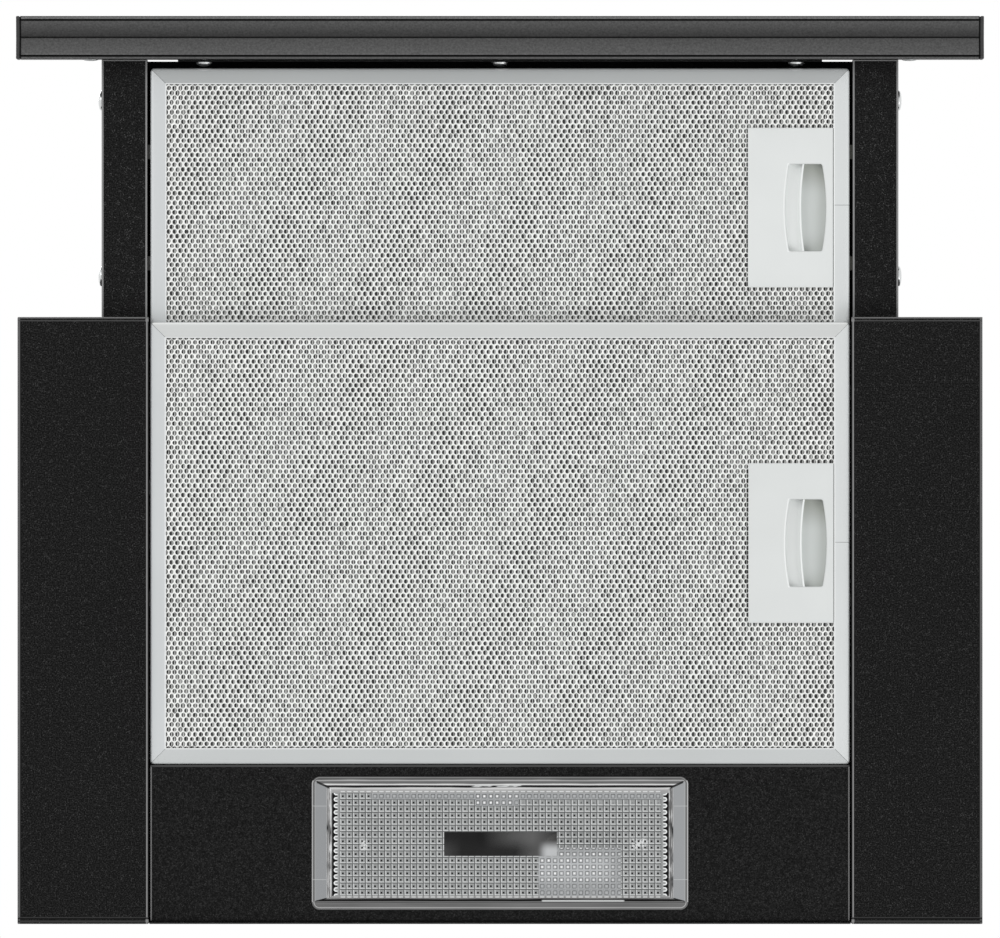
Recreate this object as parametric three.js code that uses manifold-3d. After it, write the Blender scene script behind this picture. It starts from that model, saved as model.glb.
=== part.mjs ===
// Pull out range hood for a wall cabinet, drawer drawn out. Millimetres, +Z up, front towards -Y.
// The origin is under the middle of the hood, on the plane of its lowest faces.

import * as THREE from "three";
import { mergeVertices } from "three/addons/utils/BufferGeometryUtils.js";
import Module from "manifold-3d";

const wasm = await Module();
wasm.setup();

// ---------------------------------------------------------------- Driving dimensions

const GAP = 0.3; // between pieces that seat on each other
const SHEET = 1.2; // folded steel sheet
const PAST = 5; // how far a cut runs past the face that it opens

// Body
const BODY_WIDTH = 498.4;
const BODY_DEPTH = 313.5;
const CASING_WIDTH = 67.7;
const CASING_HEIGHT = 60.5;
const CASING_LIP = 9; // height of the fold along the casing's inner edge
const APRON_HEIGHT = 13.5;
const DECK_MARGIN = 20; // deck left around the air opening, inside the motor box
const DECK_HOLE = 2.6; // radius of the four screw holes
const DECK_HOLE_INSET = { x: 28, y: 60 }; // from the deck's edges

// Motor box and duct
const BOX_WIDTH = 352;
const BOX_DEPTH = 291;
const BOX_HEIGHT = 87.7;
const BOX_CORNER = 8;
const BOX_FLANGE = 9;
const BOX_BACK_MARGIN = 10;
const COLLAR_RADIUS = 60;
const COLLAR_HEIGHT = 27.7;
const COLLAR_WALL = 2.5;
const COLLAR_FLANGE = 8;
const COLLAR_FLANGE_SHEET = 2;
const COLLAR_BACK = 74.5; // from the hood's back to the collar's middle
const FLAP_LEDGE = 4;
const FLAP_LEDGE_HEIGHT = 2.2;
const FLAP_SHEET = 1.2;
const FLAP_PIN_RADIUS = 1.5;
const FLAP_KNUCKLE = 1.2; // wall of a knuckle
const FLAP_KNUCKLE_LENGTH = 8;
const FLAP_KNUCKLE_PLACES = [-40, 12]; // along the pin, for the front flap
const FLAP_KNUCKLE_STEP = 14; // from a front knuckle to its rear neighbour

// Blower
const FAN_X = -62;
const FAN_FORWARD = 115; // wheel's middle in front of the collar's middle
const WHEEL_RADIUS = 65;
const WHEEL_HEIGHT = 58;
const WHEEL_PLATE = 1.5;
const BLADE_COUNT = 32;
const BLADE_DEPTH = 13;
const BLADE_SHEET = 1.4;
const BLADE_TURN = 0.16; // how far a blade's tip runs ahead of its root, in radians
const BLADE_BEND = 0.35; // share of that at the blade's middle
const SCROLL_SHEET = 1.5;
const SCROLL_LIFT = 12; // scroll floor above the deck
const SCROLL_START = 74; // scroll radius at the cut-off
const SCROLL_END = 122; // scroll radius at the outlet
const SCROLL_CUTOFF = 70; // degrees round from the outlet
const SCROLL_OUTLET = 60; // half width of the outlet chamber behind the wheel
const INLET_RADIUS = 54;
const INLET_LIP = 3;
const MOTOR_RADIUS = 42;
const MOTOR_HEIGHT = 40;
const MOTOR_RIM = 4.5; // clearance from the motor to the wheel's dish
const SHAFT_RADIUS = 4;
const SHAFT_BORE = 0.35;
const SHAFT_LENGTH = 29;
const SHAFT_IN_MOTOR = 10;
const NUT_RADIUS = 7.5;
const NUT_HEIGHT = 5;
const CAPACITOR_RADIUS = 15;
const CAPACITOR_LENGTH = 60;
const CAPACITOR_LIFT = 24;
const CAPACITOR_FORWARD = 30;
const TERMINAL_BOX = { width: 52, depth: 36, height: 20 };
const TERMINAL_BOX_X = 112;
const GLAND_RADIUS = 8;
const GLAND_LENGTH = 16;
const GLAND_HOLE = 4;

// Drawer
const STRIP_OVERHANG = 0.8; // strip past the body at each side
const STRIP_DEPTH = 22.2;
const STRIP_HEIGHT = 48;
const STRIP_WALL = 1.6;
const STRIP_LIP = 1.9; // thin lips along the underside's front and back edges
const STRIP_VALLEY = 11.2; // from the front face to the crease between the two facets
const STRIP_RISE = 5; // height of that crease
const STRIP_STEP = 1.2; // groove beside each lip
const END_CAP = 1.9;
const CAP_SPIGOT = 6; // how far a cap's spigot reaches into the strip
const DRAWER_REACH = 133.3; // from the strip's back to the body's front, drawn out
const ARM_SIDE = 0.8; // arm outside the casing's inner face
const ARM_LENGTH = 302;
const ARM_WIDTH = 23.6;
const ARM_HEIGHT = 30.5;
const ARM_RISE = 1.3; // arm's underside above the front filter's
const CROSSBAR_SIDE = 15.8; // crossbar's end to the arm's inner face
const CROSSBAR_SHEET = 1;
const CROSSBAR_LEDGE = 9;
const COVER_BACK = 152; // from the strip's back to the cover sheet's rear edge
const COVER_SHEET = 1;
const COVER_SETBACK = 0.9; // cover sheet behind the strip
const RAIL_INSET = 6.2; // from the arm's inner face to the rail's back
const RAIL_DEPTH = 11;
const RAIL_HEIGHT = 20;
const RAIL_LIFT = 6.5; // rail above the arm's underside
const RAIL_SLOT = 6.8;
const RAIL_SHEET = 1.2;
const RAIL_FLANGE = 14;
const RUNNER_GAP = 0.4;
const RUNNER_START = 7; // runner behind the strip
const RIVET_HEAD = 5.2;
const RIVET_PROUD = 1.7;
const RIVET_SHANK = 2.2;
const RIVET_LENGTH = 5;
const RIVET_PLACES = [21.2, 112.1]; // behind the strip
const SCREW_HEAD = 3.85;
const SCREW_PROUD = 2.4;
const SCREW_FLAT = 0.8; // height of the two flat heads outside the arms
const SCREW_SHANK = 1.6;
const SCREW_LENGTH = 8;
const CROSSBAR_SCREW_INSET = 13.5;
const CROSSBAR_SCREW_LIFT = 20.5;
const STRIP_SCREW_SIDE = 5.6; // from the arm's outer face
const STRIP_SCREW_LIFT = 12;

// Filters
const FILTER_THICKNESS = 9;
const FILTER_SHEET = 1;
const FILTER_BAR = 8.2;
const FRONT_FILTER_DEPTH = 144;
const REAR_FILTER_DEPTH = 228.3;
const REAR_FILTER_LIFT = 2.2;
const FILTER_STEP = 1; // front filter above the rear one
const FRONT_FILTER_SETBACK = 4.7; // front filter behind the strip
const FRONT_FILTER_SIDE = 1.7; // front filter to each arm
const REAR_FILTER_SIDE = 0.7; // rear filter to each casing
const REAR_FILTER_BACK = 0.5; // rear filter to the lamp panel
const TAB_REACH = 3.2;
const TAB_THICKNESS = 1.5;
const MESH_THICKNESS = 1.6; // pressed mesh layers, taken together

// Latches
const LATCH_WIDTH = 44;
const LATCH_LENGTH = 82.5;
const LATCH_PLATE = 1;
const LATCH_WALL = 1.2;
const LATCH_RIM = 1.5; // plate's edge outside its walls
const RECESS_LENGTH = 45;
const RECESS_WIDTH = 21.2;
const RECESS_MARGIN = 3.6; // recess to the plate's right edge
const RECESS_BULGE = 2.1;
const SLIDER_LIFT = 5;
const SLIDER_SHEET = 1.6;
const SLIDER_END = 2.9; // slider's right edge inside the plate's
const SLIDER_SPAN = 27.1;
const SLIDER_RIB = 1.4;
const SLIDER_RIB_BACK = 13.3; // rib's middle to the recess's right edge
const SLIDER_RIB_BULGE = 1.6;
const SLIDER_SIDE = 0.5;
const TONGUE_WIDTH = 7.3;
const TONGUE_STEP = 57.6;
const TONGUE_CLEARANCE = 0.45;
const TONGUE_BITE = 1; // front tongues past the arm's wall
const SPRING_RADIUS = 2;
const SPRING_WIRE = 0.35;
const SPRING_TURNS = 6;

// Lamp
const LAMP_PANEL_DEPTH = 80.6;
const LAMP_PANEL_LIFT = 3.2;
const LAMP_PANEL_FOLD = 10;
const LAMP_COVER_WIDTH = 194.5;
const LAMP_COVER_DEPTH = 69.2;
const LAMP_COVER_RISE = 2.6; // lens face below the cover's rim
const LAMP_COVER_SLOPE = { x: 9.6, y: 6.2 };
const LAMP_COVER_SHELL = 1.5;
const LAMP_SNAP_HEIGHT = 7;
const LAMP_SNAP_INSET = 3.9;
const LAMP_SNAP_CLEARANCE = 0.7;
const REFLECTOR_SHEET = 1;
const REFLECTOR_HEIGHT = 36;
const REFLECTOR_FLANGE = 3;
const BULB_RADIUS = 15.5;
const BULB_LENGTH = 45;
const BULB_BACK = 10; // bulb behind the cover's middle
const BULB_BASE_RADIUS = 6.6;
const BULB_BASE_LENGTH = 14;
const HOLDER_RADIUS = 12;
const HOLDER_LENGTH = 30;
const HOLDER_BORE = 0.4;

// Switches
const SWITCH_PLATE_WIDTH = 30;
const SWITCH_PLATE_HEIGHT = 36;
const SWITCH_PLATE_DEPTH = 6;
const SWITCH_PLATE_LIFT = 13;
const SWITCH_PLATE_SIDE = 20.7; // plate's middle to the casing's outer face
const SWITCH_SLOT = { width: 22, height: 7, depth: 4.6, step: 16 };
const SWITCH_KNOB_WIDTH = 7.4;
const SWITCH_KNOB_DEPTH = 4;

// ---------------------------------------------------------------- Places worked out from them

const BACK = (BODY_DEPTH + DRAWER_REACH + STRIP_DEPTH) / 2;
const BODY_FRONT = BACK - BODY_DEPTH;
const STRIP_FRONT = -BACK;
const STRIP_BACK = STRIP_FRONT + STRIP_DEPTH;
const CASING_OUTER = BODY_WIDTH / 2;
const CASING_INNER = CASING_OUTER - CASING_WIDTH;
const DECK_BOTTOM = CASING_HEIGHT + GAP;
const DECK_TOP = DECK_BOTTOM + SHEET;
const STRIP_WIDTH = BODY_WIDTH + 2 * STRIP_OVERHANG;
const SWITCH_PLATE_X = CASING_OUTER - SWITCH_PLATE_SIDE;

const FRONT_FILTER_BOTTOM = REAR_FILTER_LIFT + FILTER_THICKNESS + FILTER_STEP;
const ARM_BOTTOM = FRONT_FILTER_BOTTOM + ARM_RISE;
const ARM_TOP = ARM_BOTTOM + ARM_HEIGHT;
const ARM_INNER = CASING_INNER + ARM_SIDE;
const ARM_OUTER = ARM_INNER + ARM_WIDTH;
const CROSSBAR_HALF = ARM_INNER - CROSSBAR_SIDE;
const CROSSBAR_SCREW_X = CROSSBAR_HALF - CROSSBAR_SCREW_INSET;
const STRIP_SCREW_X = ARM_OUTER + STRIP_SCREW_SIDE;
const ARM_FRONT = STRIP_BACK + GAP;
const PASSAGE_OUTER = ARM_OUTER + RIVET_PROUD + SHEET;
const RAIL_INNER = ARM_INNER + RAIL_INSET;
const RAIL_OUTER = RAIL_INNER + RAIL_DEPTH;
const RAIL_BOTTOM = ARM_BOTTOM + RAIL_LIFT;
const RAIL_MIDDLE = RAIL_BOTTOM + RAIL_HEIGHT / 2;
const COVER_BOTTOM = ARM_TOP + GAP;

const LAMP_PANEL_BACK = BACK - SHEET - GAP;
const LAMP_PANEL_FRONT = LAMP_PANEL_BACK - LAMP_PANEL_DEPTH;
const LAMP_Y = (LAMP_PANEL_BACK + LAMP_PANEL_FRONT) / 2;
const LAMP_PANEL_TOP = LAMP_PANEL_LIFT + SHEET;
const REAR_FILTER_END = LAMP_PANEL_FRONT - REAR_FILTER_BACK;
const REAR_FILTER_Y = REAR_FILTER_END - REAR_FILTER_DEPTH / 2;
const FRONT_FILTER_Y = STRIP_BACK + FRONT_FILTER_SETBACK + FRONT_FILTER_DEPTH / 2;

const BOX_BOTTOM = DECK_TOP + GAP;
const BOX_TOP = BOX_BOTTOM + BOX_HEIGHT;
const BOX_BACK = BACK - BOX_BACK_MARGIN;
const BOX_Y = BOX_BACK - BOX_DEPTH / 2;
const BOX_CEILING = BOX_TOP - SHEET;
const BOX_WALL_TOP = BOX_CEILING - GAP;
const COLLAR_Y = BACK - COLLAR_BACK;
const COLLAR_BOTTOM = BOX_TOP + GAP;
const COLLAR_INNER = COLLAR_RADIUS - COLLAR_WALL;
const FAN_Y = COLLAR_Y - FAN_FORWARD;
const SCROLL_BOTTOM = DECK_TOP + SCROLL_LIFT;
const SCROLL_FLOOR_TOP = SCROLL_BOTTOM + SCROLL_SHEET;
const SCROLL_COVER_TOP = BOX_CEILING - GAP;
const SCROLL_COVER_BOTTOM = SCROLL_COVER_TOP - SCROLL_SHEET;
const SCROLL_TOP = SCROLL_COVER_BOTTOM - GAP;
const WHEEL_BOTTOM = SCROLL_FLOOR_TOP + INLET_LIP;
const WHEEL_TOP = WHEEL_BOTTOM + WHEEL_HEIGHT;
const MOTOR_TOP = SCROLL_COVER_BOTTOM - GAP;
const MOTOR_BOTTOM = MOTOR_TOP - MOTOR_HEIGHT;
const DISH_FLOOR = MOTOR_BOTTOM - MOTOR_RIM;
const BLADE_TOP = WHEEL_TOP - WHEEL_PLATE - GAP;

// ---------------------------------------------------------------- Finishes

const finish = (color, roughness, metalness) => ({ color, roughness, metalness });
const BLACK_COAT = finish(0x222324, 0.62, 0.1);
const GREY_STRIP = finish(0x55585a, 0.42, 0.6);
const ZINC = finish(0xc9ccce, 0.32, 0.9);
const ALUMINIUM = finish(0xd3d6d7, 0.38, 0.85);
const PALE_PLASTIC = finish(0xdcdedd, 0.5, 0);
const DARK_PLASTIC = finish(0x2b2c2e, 0.5, 0);
const WHITE_PLASTIC = finish(0xe6e4de, 0.45, 0);
const CLEAR_PLASTIC = finish(0xb4b6b6, 0.2, 0);
const SPRING_STEEL = finish(0x9a9da0, 0.3, 1);
const LAMP_GLASS = finish(0xf1efe6, 0.15, 0);
const SWITCH_MARK = finish(0x8c8f92, 0.45, 0);

// ---------------------------------------------------------------- Solids

// A three.js geometry as a solid that can be joined and cut.
function solid(geometry) {
  geometry.deleteAttribute("normal");
  geometry.deleteAttribute("uv");
  const merged = mergeVertices(geometry);
  const mesh = new wasm.Mesh({
    numProp: 3,
    vertProperties: merged.attributes.position.array,
    triVerts: new Uint32Array(merged.index.array),
  });
  return new wasm.Manifold(mesh);
}

// A solid as a three.js geometry.
function geometryOf(body) {
  const mesh = body.getMesh();
  const geometry = new THREE.BufferGeometry();
  geometry.setAttribute("position", new THREE.BufferAttribute(mesh.vertProperties, 3));
  geometry.setIndex(new THREE.BufferAttribute(mesh.triVerts, 1));
  return geometry;
}

function block([x0, x1], [y0, y1], [z0, z1]) {
  const geometry = new THREE.BoxGeometry(x1 - x0, y1 - y0, z1 - z0);
  return solid(geometry.translate((x0 + x1) / 2, (y0 + y1) / 2, (z0 + z1) / 2));
}

// Turns that stand a shape drawn in its own plane across the named axis.
const STAND = {
  x: new THREE.Matrix4().set(0, 0, 1, 0, 1, 0, 0, 0, 0, 1, 0, 0, 0, 0, 0, 1),
  y: new THREE.Matrix4().set(0, 1, 0, 0, 0, 0, 1, 0, 1, 0, 0, 0, 0, 0, 0, 1),
  z: new THREE.Matrix4(),
};

// An outline carried straight along an axis. Its points are (y, z) across x, (z, x) across y
// and (x, y) across z.
function prism(axis, outline, [start, end], curveSegments = 12) {
  const points = (list) => list.map(([u, v]) => new THREE.Vector2(u, v));
  const shape = Array.isArray(outline) ? new THREE.Shape(points(outline)) : outline;
  const settings = { depth: end - start, bevelEnabled: false, curveSegments };
  const geometry = new THREE.ExtrudeGeometry(shape, settings);
  return solid(geometry.translate(0, 0, start).applyMatrix4(STAND[axis]));
}

// A closed profile of [radius, height] points turned about an axis through the origin.
function turned(axis, profile, segments = 40) {
  const points = [...profile, profile[0]].map(([r, h]) => new THREE.Vector2(r, h));
  const upright = new THREE.LatheGeometry(points, segments).rotateX(Math.PI / 2);
  return solid(upright.applyMatrix4(STAND[axis]));
}

function rod(axis, radius, [start, end], segments = 40) {
  return turned(axis, [[0, start], [radius, start], [radius, end], [0, end]], segments);
}

function pipe(axis, inner, outer, [start, end], segments = 40) {
  return turned(axis, [[inner, start], [outer, start], [outer, end], [inner, end]], segments);
}

const joined = (bodies) => bodies.reduce((whole, body) => whole.add(body));
const cut = (body, tools) => tools.reduce((rest, tool) => rest.subtract(tool), body);

function roundedRectangle(width, depth, radius) {
  const [x, y] = [width / 2, depth / 2];
  const shape = new THREE.Shape();
  shape.absarc(x - radius, y - radius, radius, 0, Math.PI / 2);
  shape.absarc(-x + radius, y - radius, radius, Math.PI / 2, Math.PI);
  shape.absarc(-x + radius, -y + radius, radius, Math.PI, 1.5 * Math.PI);
  shape.absarc(x - radius, -y + radius, radius, 1.5 * Math.PI, 2 * Math.PI);
  return shape;
}

// Adds a solid to a group as a named mesh with its own material.
function add(group, name, body, look, place = [0, 0, 0]) {
  const mesh = new THREE.Mesh(geometryOf(body), new THREE.MeshStandardMaterial(look));
  mesh.name = name;
  mesh.position.set(...place);
  group.add(mesh);
  return mesh;
}

// The same solid on the right, and mirrored on the left.
function addPair(group, name, body, look) {
  add(group, `right_${name}`, body, look);
  add(group, `left_${name}`, body, look).scale.x = -1;
}

function subgroup(parent, place = [0, 0, 0]) {
  const group = new THREE.Group();
  group.position.set(...place);
  parent.add(group);
  return group;
}

// ---------------------------------------------------------------- Body

// Right-hand casing: a folded tray, open above, with a way through its front for the drawer's arm.
function casing() {
  const tray = block([CASING_INNER, CASING_OUTER], [BODY_FRONT, BACK], [0, CASING_HEIGHT]);
  const inside = block(
    [CASING_INNER + SHEET, CASING_OUTER - SHEET],
    [BODY_FRONT + SHEET, BACK - SHEET],
    [SHEET, CASING_HEIGHT + PAST],
  );
  const innerSide = block(
    [CASING_INNER - PAST, CASING_INNER + 2 * SHEET],
    [BODY_FRONT + SHEET, BACK - SHEET],
    [CASING_LIP, CASING_HEIGHT + PAST],
  );
  const passage = block(
    [CASING_INNER - PAST, PASSAGE_OUTER],
    [BODY_FRONT - PAST, BODY_FRONT + 2 * SHEET],
    [CASING_LIP, CASING_HEIGHT + PAST],
  );
  return cut(tray, [inside, innerSide, passage]);
}

function switchOpening(clearance) {
  const halfWidth = SWITCH_PLATE_WIDTH / 2 + clearance;
  return block(
    [SWITCH_PLATE_X - halfWidth, SWITCH_PLATE_X + halfWidth],
    [BODY_FRONT - clearance, BODY_FRONT + SWITCH_PLATE_DEPTH],
    [SWITCH_PLATE_LIFT - clearance, SWITCH_PLATE_LIFT + SWITCH_PLATE_HEIGHT + clearance],
  );
}

function addCasings(group) {
  const right = casing();
  add(group, "left_side_casing", right, BLACK_COAT).scale.x = -1;
  add(group, "right_side_casing", right.subtract(switchOpening(GAP)), BLACK_COAT);
}

// The air opening under the motor box, and the screw holes at both sides of it.
function deckOpenings() {
  const halfWidth = BOX_WIDTH / 2 - DECK_MARGIN;
  const z = [DECK_BOTTOM - PAST, DECK_TOP + PAST];
  const air = block(
    [-halfWidth, halfWidth],
    [BOX_BACK - BOX_DEPTH + DECK_MARGIN, BOX_BACK - DECK_MARGIN],
    z,
  );
  const x = CASING_OUTER - DECK_HOLE_INSET.x;
  const rows = [BODY_FRONT + DECK_HOLE_INSET.y, BACK - DECK_HOLE_INSET.y];
  const hole = rod("z", DECK_HOLE, z, 24);
  const holes = [-x, x].flatMap((side) => rows.map((y) => hole.translate([side, y, 0])));
  return [air, ...holes];
}

function addSheets(group) {
  const deck = block([-CASING_OUTER, CASING_OUTER], [BODY_FRONT, BACK], [DECK_BOTTOM, DECK_TOP]);
  add(group, "body_deck", cut(deck, deckOpenings()), BLACK_COAT);

  const panelHalf = CASING_INNER - GAP;
  const rearPanel = block([-panelHalf, panelHalf], [BACK - SHEET, BACK], [0, CASING_HEIGHT]);
  add(group, "rear_panel", rearPanel, BLACK_COAT);

  const apronHalf = PASSAGE_OUTER - GAP;
  const apron = block(
    [-apronHalf, apronHalf],
    [BODY_FRONT, BODY_FRONT + SHEET],
    [CASING_HEIGHT - APRON_HEIGHT, CASING_HEIGHT],
  );
  add(group, "front_apron", apron, BLACK_COAT);
}

// Motor box: rounded walls with a flange on the deck, and a top sheet with a hole under the collar.
function addMotorBox(group) {
  const plan = (grow, corner, z) =>
    prism("z", roundedRectangle(BOX_WIDTH + 2 * grow, BOX_DEPTH + 2 * grow, corner), z, 4);
  const walls = plan(0, BOX_CORNER, [BOX_BOTTOM, BOX_WALL_TOP]);
  const flange = plan(BOX_FLANGE, BOX_CORNER, [BOX_BOTTOM, BOX_BOTTOM + SHEET]);
  const inside = plan(-SHEET, BOX_CORNER - SHEET, [BOX_BOTTOM - PAST, BOX_TOP]);
  add(group, "motor_box", walls.add(flange).subtract(inside), BLACK_COAT);

  const hole = rod("z", COLLAR_INNER, [BOX_CEILING - PAST, BOX_TOP + PAST]);
  const sheet = plan(0, BOX_CORNER, [BOX_CEILING, BOX_TOP]);
  const top = sheet.subtract(hole.translate([0, COLLAR_Y - BOX_Y, 0]));
  add(group, "motor_box_top", top, BLACK_COAT);
}

// ---------------------------------------------------------------- Slide rails

// Fixed rail: a C channel open outwards that hangs from the deck. Its points are (z, x).
function rail() {
  const top = RAIL_BOTTOM + RAIL_HEIGHT;
  const [inner, outer] = [RAIL_INNER, RAIL_OUTER];
  const slotLow = RAIL_MIDDLE - RAIL_SLOT / 2;
  const slotHigh = RAIL_MIDDLE + RAIL_SLOT / 2;
  const outline = [
    [RAIL_BOTTOM, inner],
    [CASING_HEIGHT, inner],
    [CASING_HEIGHT, inner + RAIL_FLANGE],
    [CASING_HEIGHT - RAIL_SHEET, inner + RAIL_FLANGE],
    [CASING_HEIGHT - RAIL_SHEET, inner + RAIL_SHEET],
    [top, inner + RAIL_SHEET],
    [top, outer],
    [slotHigh, outer],
    [slotHigh, outer - RAIL_SHEET],
    [top - RAIL_SHEET, outer - RAIL_SHEET],
    [top - RAIL_SHEET, inner + RAIL_SHEET],
    [RAIL_BOTTOM + RAIL_SHEET, inner + RAIL_SHEET],
    [RAIL_BOTTOM + RAIL_SHEET, outer - RAIL_SHEET],
    [slotLow, outer - RAIL_SHEET],
    [slotLow, outer],
    [RAIL_BOTTOM, outer],
  ];
  return prism("y", outline, [BODY_FRONT + SHEET + GAP, BACK - SHEET - GAP]);
}

// Moving runner: a T whose head runs inside the rail and whose foot is riveted to the arm.
function runner() {
  const gap = RAIL_SHEET + RUNNER_GAP;
  const ends = [ARM_FRONT + RUNNER_START, ARM_FRONT + ARM_LENGTH - RUNNER_START];
  const neck = RAIL_SLOT / 2 - RUNNER_GAP;
  const head = block(
    [RAIL_INNER + gap, RAIL_OUTER - gap],
    ends,
    [RAIL_BOTTOM + gap, RAIL_BOTTOM + RAIL_HEIGHT - gap],
  );
  const foot = block(
    [RAIL_OUTER - gap - 1, ARM_OUTER - SHEET - GAP],
    ends,
    [RAIL_MIDDLE - neck, RAIL_MIDDLE + neck],
  );
  return cut(head.add(foot), RIVET_PLACES.map(rivetHole));
}

// ---------------------------------------------------------------- Fasteners

// A domed head on a shank, along an axis, with the head's underside at the origin.
function fastener(axis, head, proud, shank, length) {
  const profile = [[0, -length], [shank, -length], [shank, 0], [head, 0], [head * 0.86, proud * 0.62]];
  return turned(axis, [...profile, [head * 0.5, proud * 0.93], [0, proud]], 14);
}

function rivetHole(place) {
  const reach = [ARM_OUTER - SHEET - RIVET_LENGTH, ARM_OUTER + PAST];
  return rod("x", RIVET_SHANK + GAP, reach, 14).translate([0, STRIP_BACK + place, RAIL_MIDDLE]);
}

function screwHole(x, z) {
  const reach = [STRIP_BACK - STRIP_WALL - PAST, STRIP_BACK + PAST];
  return rod("y", SCREW_SHANK + GAP, reach, 14).translate([x, 0, z]);
}

const CROSSBAR_SCREWS = { left: -CROSSBAR_SCREW_X, middle: 0, right: CROSSBAR_SCREW_X };
const STRIP_SCREWS = { left: -STRIP_SCREW_X, right: STRIP_SCREW_X };
const screwHoles = [
  ...Object.values(CROSSBAR_SCREWS).map((x) => screwHole(x, CROSSBAR_SCREW_LIFT)),
  ...Object.values(STRIP_SCREWS).map((x) => screwHole(x, STRIP_SCREW_LIFT)),
];

function addFasteners(group) {
  const rivet = fastener("x", RIVET_HEAD, RIVET_PROUD, RIVET_SHANK, RIVET_LENGTH - GAP);
  ["front", "rear"].forEach((end, i) => {
    const [y, z] = [STRIP_BACK + RIVET_PLACES[i], RAIL_MIDDLE];
    const x = ARM_OUTER + GAP / 2;
    add(group, `right_${end}_rivet`, rivet, ZINC, [x, y, z]);
    add(group, `left_${end}_rivet`, rivet, ZINC, [-x, y, z]).scale.x = -1;
  });
  const domed = fastener("y", SCREW_HEAD, SCREW_PROUD, SCREW_SHANK, SCREW_LENGTH);
  for (const [side, x] of Object.entries(CROSSBAR_SCREWS)) {
    const y = ARM_FRONT + CROSSBAR_SHEET + GAP / 2;
    add(group, `crossbar_screw_${side}`, domed, ZINC, [x, y, CROSSBAR_SCREW_LIFT]);
  }
  const flat = fastener("y", SCREW_HEAD, SCREW_FLAT, SCREW_SHANK, SCREW_LENGTH);
  for (const [side, x] of Object.entries(STRIP_SCREWS)) {
    add(group, `strip_screw_${side}`, flat, ZINC, [x, STRIP_BACK + GAP / 2, STRIP_SCREW_LIFT]);
  }
}

// ---------------------------------------------------------------- Drawer

// Outer section of the front strip as (y, z) points: a box whose underside folds up to a shallow
// crease between two thin lips.
function stripOutline() {
  return [
    [STRIP_FRONT, 0],
    [STRIP_FRONT + STRIP_LIP, 0],
    [STRIP_FRONT + STRIP_LIP, STRIP_STEP],
    [STRIP_FRONT + STRIP_VALLEY, STRIP_RISE],
    [STRIP_BACK - STRIP_LIP, STRIP_STEP],
    [STRIP_BACK - STRIP_LIP, 0],
    [STRIP_BACK, 0],
    [STRIP_BACK, STRIP_HEIGHT],
    [STRIP_FRONT, STRIP_HEIGHT],
  ];
}

// The same section drawn inwards by a wall, without the lips.
function stripHollow(wall) {
  return [
    [STRIP_FRONT + wall, STRIP_STEP + wall],
    [STRIP_FRONT + STRIP_VALLEY, STRIP_RISE + wall],
    [STRIP_BACK - wall, STRIP_STEP + wall],
    [STRIP_BACK - wall, STRIP_HEIGHT - wall],
    [STRIP_FRONT + wall, STRIP_HEIGHT - wall],
  ];
}

function addStrip(group) {
  const end = STRIP_WIDTH / 2;
  const half = end - END_CAP - GAP;
  const outside = prism("x", stripOutline(), [-half, half]);
  const hollow = prism("x", stripHollow(STRIP_WALL), [-half - PAST, half + PAST]);
  add(group, "front_strip", cut(outside, [hollow, ...screwHoles]), GREY_STRIP);

  const cap = prism("x", stripOutline(), [end - END_CAP, end]);
  const spigot = prism("x", stripHollow(STRIP_WALL + GAP), [half - CAP_SPIGOT, end - END_CAP / 2]);
  addPair(group, "end_cap", cap.add(spigot), DARK_PLASTIC);
}

// Right-hand arm: a channel open above and behind, closed against the strip, with two slots for
// the front filter's tongues or tabs.
function arm() {
  const ends = [ARM_FRONT, ARM_FRONT + ARM_LENGTH];
  const bar = block([ARM_INNER, ARM_OUTER], ends, [ARM_BOTTOM, ARM_TOP]);
  const inside = block(
    [ARM_INNER + SHEET, ARM_OUTER - SHEET],
    [ARM_FRONT + SHEET, ARM_FRONT + ARM_LENGTH + PAST],
    [ARM_BOTTOM + SHEET, ARM_TOP + PAST],
  );
  const slots = tongueSlots(ARM_INNER - PAST, ARM_INNER + SHEET + PAST).map((slot) =>
    slot.translate([0, FRONT_FILTER_Y, FRONT_FILTER_BOTTOM]),
  );
  return cut(bar, [inside, ...slots, ...RIVET_PLACES.map(rivetHole)]);
}

function addDrawerFrame(group) {
  addPair(group, "arm", arm(), BLACK_COAT);
  addPair(group, "runner", runner(), WHITE_PLASTIC);

  const across = [-CROSSBAR_HALF, CROSSBAR_HALF];
  const sheet = CROSSBAR_SHEET;
  const upright = block(across, [ARM_FRONT, ARM_FRONT + sheet], [ARM_BOTTOM, ARM_TOP]);
  const ledge = block(across, [ARM_FRONT, ARM_FRONT + CROSSBAR_LEDGE], [ARM_TOP - sheet, ARM_TOP]);
  add(group, "crossbar", cut(upright.add(ledge), screwHoles), BLACK_COAT);

  const coverHalf = ARM_INNER + SHEET;
  const cover = block(
    [-coverHalf, coverHalf],
    [STRIP_BACK + COVER_SETBACK, STRIP_BACK + COVER_BACK],
    [COVER_BOTTOM, COVER_BOTTOM + COVER_SHEET],
  );
  add(group, "drawer_cover", cover, BLACK_COAT);
}

// ---------------------------------------------------------------- Filters and their latches

const tonguePlaces = () => [-TONGUE_STEP / 2, TONGUE_STEP / 2];

// Slots for a filter's two tongues, in the filter's own frame.
function tongueSlots(from, to) {
  const reach = TONGUE_WIDTH / 2 + TONGUE_CLEARANCE;
  const z = [SLIDER_LIFT - TONGUE_CLEARANCE, SLIDER_LIFT + SLIDER_SHEET + TONGUE_CLEARANCE];
  return tonguePlaces().map((y) => block([from, to], [y - reach, y + reach], z));
}

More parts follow.
